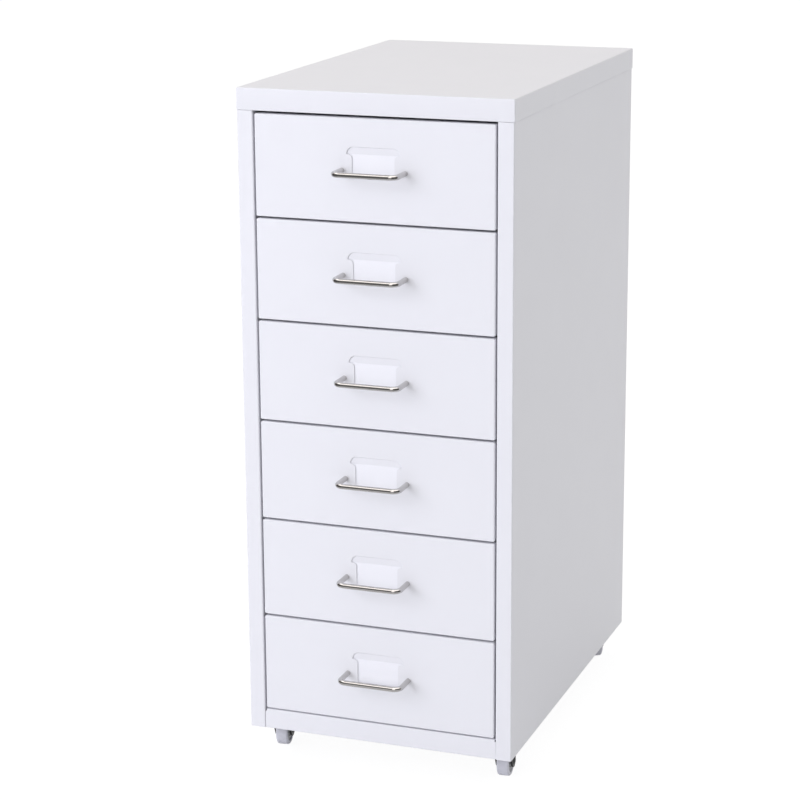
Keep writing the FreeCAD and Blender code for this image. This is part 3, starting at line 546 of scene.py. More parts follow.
class CabinetDrawer(bpy.types.PropertyGroup):
    """Sizes of a drawer."""

    thickness: bpy.props.FloatProperty(
        name="Sheet", description="Thickness of the drawer steel", default=0.6 * MM, unit="LENGTH")
    bend: bpy.props.FloatProperty(
        name="Bend", description="Outside radius of the front's folds", default=1.4 * MM, unit="LENGTH")
    corner: bpy.props.FloatProperty(
        name="Corner", description="Radius of the front's corners, seen from the front", default=1.7 * MM,
        unit="LENGTH")
    top_fold: bpy.props.FloatProperty(
        name="Top fold", description="Depth of the fold along the front's top edge", default=2.4 * MM,
        unit="LENGTH")
    top_clear: bpy.props.FloatProperty(
        name="Top clearance", description="Added to the gap over each front", default=0.3 * MM,
        unit="LENGTH")
    lip: bpy.props.FloatProperty(
        name="Tray lip", description="Width of the lip along the tray's sides", default=4.6 * MM,
        unit="LENGTH")
    lip_drop: bpy.props.FloatProperty(
        name="Lip fold", description="Height of the fold at the edge of that lip", default=4.4 * MM,
        unit="LENGTH")
    tab: bpy.props.FloatVectorProperty(
        name="Tab", description="Length and height of the tab at the lip's end", size=2,
        default=(4 * MM, 2 * MM), unit="LENGTH")
    holder_half: bpy.props.FloatProperty(
        name="Holder", description="Half the width of the label holder's recess", default=26.7 * MM,
        unit="LENGTH")
    holder_foot: bpy.props.FloatProperty(
        name="Holder foot", description="Its bottom below the middle of the front", default=12.2 * MM,
        unit="LENGTH")
    holder_top: bpy.props.FloatProperty(
        name="Holder top", description="Its top above the middle of the front", default=21.8 * MM,
        unit="LENGTH")
    holder_depth: bpy.props.FloatProperty(
        name="Holder depth", description="Depth of the recess", default=1.4 * MM, unit="LENGTH")
    holder_corner: bpy.props.FloatProperty(
        name="Holder corner", description="Radius of the recess's upper corners", default=6.3 * MM,
        unit="LENGTH")
    holder_heel: bpy.props.FloatProperty(
        name="Holder heel", description="Radius of the recess's lower corners", default=1.5 * MM,
        unit="LENGTH")
    window_half: bpy.props.FloatProperty(
        name="Window", description="Half the width between the side lips", default=21.4 * MM, unit="LENGTH")
    lip_top: bpy.props.FloatProperty(
        name="Side lip", description="Top of the side lips above the middle of the front", default=15 * MM,
        unit="LENGTH")
    lip_corner: bpy.props.FloatProperty(
        name="Side lip corner", description="Rounding of the side lips", default=4 * MM, unit="LENGTH")
    sill: bpy.props.FloatProperty(
        name="Sill", description="Height of the bottom lip", default=3.5 * MM, unit="LENGTH")
    roll: bpy.props.FloatProperty(
        name="Roll", description="Radius at which the face rolls into the recess", default=0.9 * MM,
        unit="LENGTH")


class CabinetHardware(bpy.types.PropertyGroup):
    """Sizes of the handles, casters and screws."""

    wire: bpy.props.FloatProperty(
        name="Wire", description="Diameter of the handle's wire", default=5.4 * MM, unit="LENGTH")
    wire_bend: bpy.props.FloatProperty(
        name="Wire bend", description="Middle radius of the handle's bends", default=7 * MM, unit="LENGTH")
    stud: bpy.props.FloatProperty(
        name="Stud", description="Diameter of the handle's threaded ends", default=4 * MM, unit="LENGTH")
    fork_steel: bpy.props.FloatProperty(
        name="Fork steel", description="Thickness of a caster leg", default=2.1 * MM, unit="LENGTH")
    wheel_width: bpy.props.FloatProperty(
        name="Wheel width", description="Width of the tread", default=12.5 * MM, unit="LENGTH")
    axle: bpy.props.FloatProperty(
        name="Axle", description="Diameter of a wheel's axle", default=5 * MM, unit="LENGTH")
    screw_head: bpy.props.FloatProperty(
        name="Screw head", description="Diameter of the screws at the back", default=7.5 * MM,
        unit="LENGTH")
    screw_count: bpy.props.IntProperty(
        name="Screws", description="Screws at the foot of the back", default=4)


class CabinetCamera(bpy.types.PropertyGroup):
    """Where the camera stands and how it looks."""

    place: bpy.props.FloatVectorProperty(
        name="Place", description="Camera position", size=3, default=(0.79437, -2.27458, 0.99019),
        subtype="TRANSLATION", unit="LENGTH")
    azimuth: bpy.props.FloatProperty(
        name="Azimuth", description="Turn to the right of straight ahead", default=math.radians(20.294),
        subtype="ANGLE")
    elevation: bpy.props.FloatProperty(
        name="Elevation", description="How far it looks down", default=math.radians(14.549),
        subtype="ANGLE")
    roll: bpy.props.FloatProperty(
        name="Roll", description="Tilt about the line of sight", default=math.radians(-0.374),
        subtype="ANGLE")
    lens: bpy.props.FloatProperty(
        name="Lens", description="Focal length for a sensor 36 mm wide", default=107.283,
        subtype="DISTANCE_CAMERA")
    shift: bpy.props.FloatProperty(
        name="Shift", description="Upward shift of the picture, as a share of its width", default=-0.025)


class CabinetStage(bpy.types.PropertyGroup):
    """Floor and lights."""

    floor: bpy.props.StringProperty(name="Floor", description="Colour of the floor", default="#F2F2F3")
    floor_white: bpy.props.FloatProperty(
        name="Floor white", description="Share of plain white in the floor that cameras see", default=0.85,
        subtype="FACTOR")
    floor_level: bpy.props.FloatProperty(name="Floor level", description="Level of that white", default=1.1)
    ambient: bpy.props.FloatProperty(
        name="Ambient", description="Level of the soft light all round", default=0.68)
    ambient_low: bpy.props.FloatProperty(
        name="Ambient low", description="Its level low down in front", default=0.208)
    mirror_tint: bpy.props.StringProperty(
        name="Mirror tint", description="Colour of the room in mirrors", default="#FFFAF6")
    key: bpy.props.FloatProperty(
        name="Key", description="Power of the large lamp on the front left", default=56.5, unit="POWER")
    key_colour: bpy.props.StringProperty(name="Key colour", description="A cool white", default="#F5F6FF")
    overhead: bpy.props.FloatProperty(
        name="Overhead", description="Power of the lamp above", default=4.0, unit="POWER")
    overhead_colour: bpy.props.StringProperty(
        name="Overhead colour", description="A warm white", default="#FFFBF4")


class CABINET_OT_lid(bpy.types.Operator):
    """Build the lid, an upturned pan of folded sheet with a stiffening fold under its front skirt"""

    bl_idname = "cabinet.lid"
    bl_label = "Lid"

    def execute(self, context):
        sheet = context.scene.cabinet_sheet
        low, high = corners("top_panel")
        half = sheet.thickness / 2
        inset, least_corner = 6 * MM, 0.1 * MM
        profile = folded([(inset, high[2] - half), (half, high[2] - half), (half, low[2])],
                         sheet.thickness, sheet.bend, capped=False)
        # Each point of the profile, from inside the top to inside the skirt, becomes a loop round the lid.
        loops = []
        for reach, height in profile:
            corner = max(sheet.bend - reach, least_corner)
            loops.append(in_space(box_line(low[:2] + reach, high[:2] - reach, corner), height, "z"))
        opening = corners("side_panel_right")[0][0]
        fold = folded([(low[1] + sheet.thickness, low[2] + half), (low[1] + sheet.lid_fold, low[2] + half)],
                      sheet.thickness, sheet.bend)
        shells = [loft(loops), prism(fold, -opening, opening, "x")]
        piece("lid", shells, PAINT, "root", "top_panel")
        return {"FINISHED"}


class CABINET_OT_sides(bpy.types.Operator):
    """Build the side panels, each one sheet with a stile folded at its front and a flange at its rear"""

    bl_idname = "cabinet.sides"
    bl_label = "Side panels"

    def execute(self, context):
        sheet = context.scene.cabinet_sheet
        half = sheet.thickness / 2
        clearance = 0.2 * MM
        stile_top = corners("top_panel")[0][2] - clearance
        for name, side in SIDES.items():
            low, high = corners(f"side_panel_{name}")
            outer, opening = max(abs(low[0]), abs(high[0])), min(abs(low[0]), abs(high[0]))
            line = np.array([
                (outer - sheet.fold_depth, high[1] - half), (outer - half, high[1] - half),
                (outer - half, low[1] + half), (opening + half, low[1] + half),
                (opening + half, low[1] + sheet.fold_depth),
            ])
            # The stile ends under the lid. Inside the lid only the side and its flange go on.
            upper = np.array([*line[:2], (outer - half, low[1] + sheet.thickness)])
            shells = [
                prism(folded(line * [side, 1], sheet.thickness, sheet.bend), low[2], stile_top, "z"),
                prism(folded(upper * [side, 1], sheet.thickness, sheet.bend), stile_top, high[2], "z"),
            ]
            piece(f"side_{name}", shells, PAINT, "root", f"side_panel_{name}")
        return {"FINISHED"}


class CABINET_OT_base(bpy.types.Operator):
    """Build the bottom pan with its front rail, and the two channels that carry the casters"""

    bl_idname = "cabinet.base"
    bl_label = "Bottom pan"

    def execute(self, context):
        sheet = context.scene.cabinet_sheet
        thick, half = sheet.thickness, sheet.thickness / 2
        low, high = corners("bottom_panel")
        opening = corners("side_panel_right")[0][0]
        rail_left, rail_right = sheet.rail_seam[0] - opening, opening - sheet.rail_seam[1]
        notch_width, notch_depth, clearance, step = 1.3 * MM, 1.5 * MM, 0.3 * MM, 0.01 * MM
        behind_stile = low[1] + sheet.fold_depth + clearance
        top = high[2] - half
        line = [
            (low[1] + sheet.small_fold, low[2] + half), (low[1] + half, low[2] + half), (low[1] + half, top),
            (high[1] - half, top), (high[1] - half, high[2] - sheet.pan_flange),
        ]
        # Lengths along the folded line. Each bend is (2 - pi / 2) radii shorter than the corner it rounds.
        rail_top = sheet.small_fold + high[2] - low[2] - 3 * half - (4 - math.pi) * (sheet.bend - half)
        notch_start = rail_top - notch_depth
        notch_end = rail_top + behind_stile - low[1]
        far = 1.0
        notch_left, notch_right = rail_left + notch_width, rail_right - notch_width
        edges = [
            (0, rail_left, rail_right), (notch_start, rail_left, rail_right),
            (notch_start + step, notch_left, notch_right), (notch_end, notch_left, notch_right),
            (notch_end + step, -high[0], high[0]), (far, -high[0], high[0]),
        ]
        shells = [strip(line, edges, thick, sheet.bend)]
        for side in SIDES.values():
            flange = folded([(side * (high[0] - half), high[2] - sheet.pan_flange),
                             (side * (high[0] - half), high[2] - thick)], thick, sheet.bend)
            shells.append(prism(flange, behind_stile, high[1] - thick, "y"))
        piece("bottom_pan", shells, PAINT, "root", "bottom_panel")
        self.make_channels(sheet)
        return {"FINISHED"}

    def make_channels(self, sheet):
        """Each channel is a flat-bottomed U in the plane of Y and Z, carried from side to side."""
        half = sheet.rail_steel / 2
        for name in ("front", "rear"):
            low, high = corners(f"caster_rail_{name}")
            line = [(low[1] + half, high[2]), (low[1] + half, low[2] + half), (high[1] - half, low[2] + half),
                    (high[1] - half, high[2])]
            shell = prism(folded(line, sheet.rail_steel, 2 * sheet.rail_steel), low[0], high[0], "x")
            piece(f"caster_channel_{name}", [shell], ZINC, "root", f"caster_rail_{name}")


class CABINET_OT_back(bpy.types.Operator):
    """Paint the back panel, and build the screws that hold it"""

    bl_idname = "cabinet.back"
    bl_label = "Back"

    def execute(self, context):
        hardware = context.scene.cabinet_hardware
        finish_node("back_panel", PAINT)
        low, high = corners("back_screws")
        radius = hardware.screw_head / 2
        panel_face = corners("back_panel")[1][1]
        height = high[1] - panel_face
        places = np.linspace(low[0] + radius, high[0] - radius, hardware.screw_count)
        centre_z = (low[2] + high[2]) / 2
        tip_radius, shank_radius, tip_length = 0.4 * radius, 0.5 * radius, 0.8 * MM
        end = low[1] - panel_face
        shank = [(tip_radius, end), (shank_radius, end + tip_length), (shank_radius, 0)]
        shells = []
        for x in places:
            centre = (x, panel_face, centre_z)
            shells += [self.head(centre, radius, height), turned(shank, centre, (0, 1, 0), steps=24)]
        piece("back_screw_set", shells, ZINC, "root", "back_screws")
        return {"FINISHED"}

    def head(self, centre, radius, height):
        """A pan head: rings of a dome, whose height drops inside a cross of two tapering slots.

        The rings are shares of the radius and of the height. The slots' sizes are shares of the radius.
        """
        rim, rim_rise = [1, 1, 0.97, 0.9, 0.8, 0.7, 0.6], [0, 0.3, 0.55, 0.78, 0.9, 0.95, 0.98]
        crown = [0.54, 0.5, 0.46, 0.4, 0.34, 0.28, 0.22, 0.16, 0.1, 0.04]
        slot_half, slot_reach, slot_wall, slot_depth = 0.11, 0.56, 0.06, 0.75
        share = np.array(rim + crown)
        rise = np.array(rim_rise + [1] * len(crown)) * height
        angles = np.linspace(0, 2 * math.pi, 96, endpoint=False)
        across = share[:, None] * radius * np.cos(angles)
        upward = share[:, None] * radius * np.sin(angles)
        arm = np.minimum(np.abs(across), np.abs(upward))
        reach = np.maximum(np.abs(across), np.abs(upward))
        slot = np.clip((slot_half * radius - arm) / (slot_wall * radius), 0, 1)
        slot *= np.clip((slot_reach * radius - reach) / (slot_wall * radius), 0, 1)
        depth = slot_depth * height * slot * (1 - 0.5 * reach / radius)
        loops = np.stack((across, rise[:, None] - depth, upward), axis=-1)
        return loft(loops + centre)


class CABINET_OT_runners(bpy.types.Operator):
    """Build the channel runners, with their front stops and closed ends"""

    bl_idname = "cabinet.runners"
    bl_label = "Runners"

    def execute(self, context):
        sheet, drawer = context.scene.cabinet_sheet, context.scene.cabinet_drawer
        steel = sheet.runner_steel
        half = steel / 2
        lip_cover, tab_room, tray_room, stop_length = 1.2 * MM, 0.6 * MM, 0.5 * MM, 3 * MM
        for number in DRAWERS:
            low, high = corners(f"runners_{number}")
            tray_high = corners(f"drawer_tray_{number}")[1]
            ledge = tray_high[0] - drawer.lip + lip_cover
            stop_y = high[1] - JOINTS[f"drawer_{number}_slide"]["range_m"][1]
            stop_end = stop_y - steel - drawer.tab[0] - tab_room
            shells = []
            for side in SIDES.values():
                line = np.array([(ledge, low[2] + half), (high[0] - half, low[2] + half),
                                 (high[0] - half, high[2] - half), (ledge, high[2] - half)])
                outline = folded(line * [side, 1], steel, 1.3 * steel)
                shells.append(prism(outline, low[1], high[1] - steel, "y"))
                near, far = sorted((side * ledge, side * high[0]))
                end = box_line((near, low[2]), (far, high[2]), half)
                shells.append(prism(end, high[1] - steel, high[1], "y"))
                near, far = sorted((side * ledge, side * tray_high[0]))
                stop = box_line((near, tray_high[2] + tray_room), (far, high[2] - steel), 0)
                shells.append(prism(stop, stop_end - stop_length, stop_end, "y"))
            piece(f"runner_pair_{number}", shells, PAINT, "root", f"runners_{number}")
        return {"FINISHED"}


class CABINET_OT_trays(bpy.types.Operator):
    """Build the trays: a folded trough with lips that ride in the runners, and two end walls"""

    bl_idname = "cabinet.trays"
    bl_label = "Drawer trays"

    def execute(self, context):
        drawer = context.scene.cabinet_drawer
        thick, half = drawer.thickness, drawer.thickness / 2
        bend, rear_corner, tab_corner, clearance = 1.5 * MM, 1 * MM, 0.4 * MM, 0.3 * MM
        for number in DRAWERS:
            low, high = corners(f"drawer_tray_{number}")
            top = high[2] - drawer.tab[1]
            wall = high[0] - drawer.lip
            lip_start = corners(f"drawer_front_{number}")[1][1] + clearance
            trough = [(wall - half, top), (wall - half, low[2] + half)]
            lips = [(high[0] - half, top - drawer.lip_drop), (high[0] - half, top - half),
                    (wall - half, top - half), (wall - half, low[2] + half)]
            shells = []
            for line, start, end in ((trough, low[1], lip_start), (lips, lip_start, high[1])):
                both = np.array(line + [(-x, z) for x, z in line[::-1]])
                shells.append(prism(folded(both, thick, bend), start, end, "y"))
            inner = wall - thick
            rear = box_line((-inner, low[2] + thick), (inner, top), rear_corner)
            shells.append(prism(rear, high[1] - thick, high[1], "y"))
            shells.append(self.front_wall(drawer, number, inner, low, top))
            for side in SIDES.values():
                near, far = sorted((side * (wall + half), side * high[0]))
                tab = box_line((near, top - thick), (far, high[2]), tab_corner)
                shells.append(prism(tab, high[1] - drawer.tab[0], high[1], "y"))
            piece(f"tray_{number}", shells, PAINT, f"drawer_{number}", f"drawer_tray_{number}")
        return {"FINISHED"}

    def front_wall(self, drawer, number, inner, low, top):
        """A plate with a window for the label holder: two outlines with as many points, joined in a ring."""
        middle = holder_middle(number)
        clearance, corner = 0.4 * MM, 1 * MM
        room = drawer.thickness + clearance
        right = [(drawer.holder_half + room, middle - drawer.holder_foot - room),
                 (drawer.holder_half + room, middle + drawer.holder_top + room)]
        window = mirrored_line(right, [drawer.holder_heel + room, drawer.holder_corner + room])
        rim = mirrored_line([(inner, low[2] + drawer.thickness), (inner, top)], [corner, corner])
        front, back = low[1], low[1] + drawer.thickness
        return loft([in_space(rim, front, "y"), in_space(rim, back, "y"), in_space(window, back, "y"),
                     in_space(window, front, "y")], ring=True)


def holder_middle(number):
    """Height of the middle of a drawer's front, from which its label holder is measured."""
    low, high = corners(f"drawer_front_{number}")
    return (low[2] + high[2]) / 2


class CABINET_OT_fronts(bpy.types.Operator):
    """Build the drawer fronts: a pressed pan with a recess, and lips that hold the label card"""

    bl_idname = "cabinet.fronts"
    bl_label = "Drawer fronts"

    def execute(self, context):
        drawer = context.scene.cabinet_drawer
        # One stack of loops over the whole sheet: its back, its folds and face, and the recess.
        skins = (self.back_skin, self.outer_rim, self.holder)
        for number in DRAWERS:
            loops = [loop for skin in skins for loop in skin(drawer, number)]
            piece(f"front_{number}", [loft(loops)], PAINT, f"drawer_{number}", f"drawer_front_{number}")
        return {"FINISHED"}

    def side_points(self, drawer):
        """The window's right side above its sill: up the lip, round its corner and out to the recess."""
        sine, rise = quarter(5)
        x = drawer.window_half + drawer.lip_corner * rise
        z = drawer.lip_top - drawer.lip_corner * (1 - sine)
        last_run = 0.4 * MM
        end = [(drawer.holder_half - last_run, drawer.lip_top), (drawer.holder_half, drawer.lip_top)]
        return np.concatenate((np.stack((x, z), axis=1), end))

    def recess_line(self, drawer, number):
        """The outline of the recess, with a point beside each point of the window's sides."""
        window_side = self.side_points(drawer)
        heights = np.linspace(window_side[0, 1], window_side[-1, 1], len(window_side))
        side = [(drawer.holder_half, z) for z in heights]
        right = [(drawer.holder_half, -drawer.holder_foot), *side, (drawer.holder_half, drawer.holder_top)]
        radii = [drawer.holder_heel, *([0] * len(side)), drawer.holder_corner]
        return mirrored_line(right, radii) + [0, holder_middle(number)]

    def window_line(self, drawer, number):
        """The outline of the opening: over the sill and between the side lips, and above them the recess."""
        side = self.side_points(drawer)
        sill_corner = 0.8 * MM
        right = [(drawer.window_half, drawer.sill - drawer.holder_foot), *side,
                 (drawer.holder_half, drawer.holder_top)]
        radii = [sill_corner, *([0] * len(side)), drawer.holder_corner]
        return mirrored_line(right, radii) + [0, holder_middle(number)]

    def rim_line(self, drawer, number, inset):
        """The outline of the whole front, moved in by an inset, with as many side points as the window has.

        Those lie a little lower than the window's, so that no quad between them has a hollow corner.
        """
        low, high = corners(f"drawer_front_{number}")
        low, high = low[[0, 2]] + inset, high[[0, 2]] - inset - [0, drawer.top_clear]
        low_drop, high_drop, least_corner = 4.6 * MM, 0.8 * MM, 0.2 * MM
        count = len(self.side_points(drawer))
        lip_top = holder_middle(number) + drawer.lip_top
        side = [(high[0], z) for z in np.linspace(lip_top - low_drop, lip_top - high_drop, count)]
        radius = max(drawer.corner - inset, least_corner)
        return mirrored_line([(high[0], low[1]), *side, (high[0], high[1])], [radius, *([0] * count), radius])

    def back_skin(self, drawer, number):
        """From the back of the recess, down round it, out across the back of the face and along the folds."""
        thick, bend, depth = drawer.thickness, drawer.bend, drawer.holder_depth
        face = corners(f"drawer_front_{number}")[0][1]
        recess = self.recess_line(drawer, number)
        crest, foot = 0.7 * MM, 0.3 * MM
        sine, rise = quarter(4)
        rings = [(thick - crest - GUARD, depth + thick)]
        rings += zip(thick - crest + crest * sine, depth + thick - crest * rise)
        rings += zip(thick + foot * rise, thick + foot * (1 - sine))
        rings += [(thick + foot + GUARD, thick)]
        loops = [in_space(shifted(recess, -grow, closed=True), face + y, "y") for grow, y in rings]
        inner = bend - thick
        rims = [(bend + GUARD, thick), *zip(bend - inner * sine, thick + inner * rise), (thick, bend + GUARD)]
        return loops + [self.rim_loop(drawer, number, inset, y) for inset, y in rims]

    def outer_rim(self, drawer, number):
        """Round the rear edge of the folds, forwards along them and over the bend to the face."""
        low, high = corners(f"drawer_front_{number}")
        half, bend = drawer.thickness / 2, drawer.bend
        depth = high[1] - low[1]
        around = np.linspace(0, math.pi, 7)
        rims = list(zip(half + half * np.cos(around), depth - half + half * np.sin(around)))
        sine, rise = quarter(6)
        rims += [(0, bend + GUARD), *zip(bend * rise, bend * (1 - sine)), (bend + GUARD, 0)]
        return [self.rim_loop(drawer, number, inset, y) for inset, y in rims]

    def rim_loop(self, drawer, number, inset, y):
        """The outline at a depth behind the face. Past the bend, the top edge goes only as deep as its fold.

        The depth of a point there is scaled by top fold / side fold, and round each top corner by a
        share between that and one.
        """
        low, high = corners(f"drawer_front_{number}")
        line = self.rim_line(drawer, number, inset)
        full, bend = high[1] - low[1], drawer.bend + GUARD
        if y <= bend:
            return in_space(line, low[1] + y, "y")
        corner = [high[0] - drawer.corner - bend, high[0] - drawer.bend]
        across = np.interp(np.abs(line[:, 0]), corner, [1, 0])
        upper = np.where(line[:, 1] > (low[2] + high[2]) / 2, across, 0)
        share = upper * (full - drawer.top_fold) / (full - bend)
        return in_space(line, low[1] + y - (y - bend) * share, "y")

    def holder(self, drawer, number):
        """From the face into the recess. Above the lips the face rolls over a soft edge and down the wall.

        Along the lips and the sill it goes round their thin edge, back under them and down the same wall.
        """
        face = corners(f"drawer_front_{number}")[0][1]
        thick, depth, roll = drawer.thickness, drawer.holder_depth, drawer.roll
        edge, fillet, margin = 0.2 * MM, 0.25 * MM, 0.05 * MM
        recess, window = self.recess_line(drawer, number), self.window_line(drawer, number)
        sine, rise = quarter(4)
        lips = [(window, edge + GUARD, 0)]
        lips += [(window, edge * (1 - s), edge * r) for s, r in zip(sine, rise)]
        lips += [(window, edge * r, thick - edge * (1 - s)) for s, r in zip(sine, rise)]
        lips += [(window, edge + GUARD, thick), (recess, -GUARD, thick), (recess, 0, thick)]
        # Both ways have as many steps, so the wall above the lips is cut into the ones that are left.
        wall_steps = len(lips) - 1 - len(sine)
        open_wall = np.linspace(roll, depth - fillet, wall_steps + 1)[:-1]
        top = [(recess, roll + GUARD, 0)]
        top += [(recess, roll * (1 - s), roll * r) for s, r in zip(sine, rise)]
        top += [(recess, 0, y) for y in open_wall]
        floor = [(recess, -fillet * r, depth - fillet * (1 - s)) for s, r in zip(sine, rise)]
        floor += [(recess, -fillet - GUARD, depth)]
        is_top = np.abs(window[:, 1] - holder_middle(number)) > drawer.lip_top + margin
        along_lips, along_top = (
            [in_space(shifted(line, -grow, closed=True), face + y, "y") for line, grow, y in steps]
            for steps in (lips + floor, top + floor)
        )
        return [np.where(is_top[:, None], above, below) for above, below in zip(along_top, along_lips)]


class CABINET_OT_cards(bpy.types.Operator):
    """Build the blank label cards"""

    bl_idname = "cabinet.cards"
    bl_label = "Label cards"

    def execute(self, context):
        corner, edge = 0.6 * MM, 0.08 * MM
        for number in DRAWERS:
            low, high = corners(f"label_card_{number}")
            outline = box_line(low[[0, 2]], high[[0, 2]], corner)
            shell = prism(outline, low[1], high[1], "y", edge)
            piece(f"card_{number}", [shell], CARD, f"drawer_{number}", f"label_card_{number}")
        return {"FINISHED"}


class CABINET_OT_handles(bpy.types.Operator):
    """Build the bent wire handles with their threaded ends, and finish the nuts inside"""

    bl_idname = "cabinet.handles"
    bl_label = "Handles"

    def execute(self, context):
        hardware = context.scene.cabinet_hardware
        radius = hardware.wire / 2
        for number in DRAWERS:
            low, high = corners(f"drawer_handle_{number}")
            face = corners(f"drawer_front_{number}")[0][1]
            centre_z = (low[2] + high[2]) / 2
            foot, bar = high[0] - radius, low[1] + radius
            course = [(-foot, face), (-foot, bar), (foot, bar), (foot, face)]
            line = in_space(bent(course, hardware.wire_bend, steps=14), centre_z, "z")
            shells = [tube(line, radius, (0, 0, 1), steps=28)]
            for side in SIDES.values():
                shells.append(self.stud((side * foot, face, centre_z), hardware.stud / 2, high[1] - face))
            piece(f"handle_{number}", shells, CHROME, f"drawer_{number}", f"drawer_handle_{number}")
            finish_node(f"handle_nuts_{number}", ZINC)
        return {"FINISHED"}

    def stud(self, centre, radius, length):
        """A threaded end: its radius goes up and down with the thread's pitch, and its tip is narrower."""
        pitch, groove, tip = 0.7 * MM, 0.2 * MM, 0.7 * radius
        along = np.arange(0, length - pitch, pitch / 2)
        depth = np.where(np.arange(len(along)) % 2, groove, 0)
        profile = [*zip(radius - depth, along), (tip, length)]
        return turned(profile, centre, (0, 1, 0), steps=24)


class CABINET_OT_casters(bpy.types.Operator):
    """Build the swivel casters: pressed forks, riveted axles, and wheels with a tread and a ringed centre"""

    bl_idname = "cabinet.casters"
    bl_label = "Casters"

    def execute(self, context):
        hardware = context.scene.cabinet_hardware
        finish_node("caster_stems", ZINC)
        finish_node("caster_nuts", ZINC)
        clearance = 0.6 * MM
        outside = hardware.wheel_width / 2 + clearance + hardware.fork_steel
        for name in CASTERS:
            swivel = np.array(JOINTS[f"swivel_{name}_turn"]["pos_m"])
            spin = JOINTS[f"wheel_{name}_spin"]
            axle = np.array(spin["pos_m"])
            sideways = unit(np.array(spin["axis"], float))
            backwards = np.cross([0, 0, 1], sideways)
            trail = (axle - swivel) @ backwards
            top = corners(f"caster_fork_{name}")[1][2]
            base = np.array([swivel[0], swivel[1], 0])
            fork = [moved(shell, base, sideways, backwards)
                    for shell in self.fork(hardware, (trail, axle[2]), top, outside)]
            wheel = self.wheel(hardware, axle, sideways, outside)
            rivet = self.axle(hardware, axle, sideways, outside)
            piece(f"fork_{name}", fork, LACQUER, f"swivel_{name}", f"caster_fork_{name}")
            piece(f"wheel_{name}", wheel, [TREAD, HUB], f"wheel_{name}", f"caster_wheel_{name}")
            piece(f"axle_{name}", [rivet], LACQUER, f"swivel_{name}", f"caster_axle_{name}")
        return {"FINISHED"}

    def fork(self, hardware, axle, high, outside):
        """A crown turned about the swivel axis, and two legs whose ends are round about the axle."""
        crown, edge, thick, bore, chamfer = 14 * MM, 1.5 * MM, 4 * MM, 4.05 * MM, 0.3 * MM
        front, rear, end_radius, leg_edge = -8 * MM, 11 * MM, 7 * MM, 0.25 * MM
        under = high - thick
        sine, rise = quarter(6)
        profile = [(bore, under), (bore, high), (crown - edge - GUARD, high)]
        profile += zip(crown - edge + edge * sine, high - edge * rise)
        profile += [(crown, under + chamfer), (crown - chamfer, under)]
        shells = [turned(profile, (0, 0, 0), (0, 0, 1), steps=64, ring=True)]
        outline = self.leg_outline(axle, end_radius, (front, rear), under)
        for start in (-outside, outside - hardware.fork_steel):
            shells.append(prism(outline, start, start + hardware.fork_steel, "x", leg_edge))
        return shells

    def leg_outline(self, centre, radius, sides, shoulder):
        """Two edges from the crown that touch a circle about the axle, and its lower arc between them.

        The direction from the circle's middle to where an edge touches it is turned from the direction to
        the edge's upper end by the angle whose cosine is the radius over the distance of that end. The head
        goes up into the crown.
        """
        into_crown = 2 * MM
        angles = []
        for x, turn in zip(sides, (1, -1)):
            away = np.array([x, shoulder]) - centre
            angles.append(math.atan2(away[1], away[0]) + turn * math.acos(radius / np.linalg.norm(away)))
        sweep = np.linspace(angles[0], angles[1] + 2 * math.pi, 20)
        arc = np.asarray(centre) + radius * np.stack((np.cos(sweep), np.sin(sweep)), axis=1)
        front, rear = sides
        top = shoulder + into_crown
        return np.concatenate((arc, [(rear, shoulder), (rear, top), (front, top), (front, shoulder)]))

    def wheel(self, hardware, axle, sideways, outside):
        """A tyre and a centre, each a profile of radius and distance along the axle, turned about it."""
        radius, half = axle[2], hardware.wheel_width / 2
        tread, middle_drop, edge_drop, shoulder, chamfer = 3.8 * MM, 0.05 * MM, 0.1 * MM, 2 * MM, 0.2 * MM
        rim = radius - tread
        sine, rise = quarter(6)
        tyre = [(radius - middle_drop, 0.25 * half), (radius - edge_drop, half - shoulder - GUARD)]
        tyre += zip(radius - edge_drop - shoulder * rise, half - shoulder + shoulder * sine)
        tyre += [(rim + chamfer, half), (rim, half - chamfer)]
        side_room, bore_room, dish = 0.25 * MM, 0.05 * MM, 1.5 * MM
        hub, hub_edge, rim_edge = 5 * MM, 0.4 * MM, 0.6 * MM
        ring_in, ring_out, ring_slope, ring_height = 7.8 * MM, 9.2 * MM, 0.5 * MM, 0.7 * MM
        end = outside - hardware.fork_steel - side_room
        bore, face = hardware.axle / 2 + bore_room, half - dish
        centre = [
            (bore, end - chamfer), (bore + chamfer, end), (hub - hub_edge, end), (hub, end - hub_edge),
            (hub, face + hub_edge), (hub + hub_edge, face),
            (ring_in - ring_slope, face), (ring_in, face + ring_height),
            (ring_out, face + ring_height), (ring_out + ring_slope, face),
            (rim - rim_edge, face), (rim, face + rim_edge),
        ]
        return [turned(right + [(r, -s) for r, s in right[::-1]], axle, sideways, steps=96, ring=True)
                for right in (tyre, centre)]

    def axle(self, hardware, centre, sideways, outside):
        """A shank with two domed rivet heads: quarters of an ellipse, with a small flat at the end."""
        head, height, flat = 4 * MM, 1.2 * MM, 0.1
        sine, rise = quarter(6)
        right = [(hardware.axle / 2, outside), *zip(head * (1 - rise * (1 - flat)), outside + height * sine)]
        return turned([(r, -s) for r, s in right[::-1]] + right, centre, sideways, steps=40)


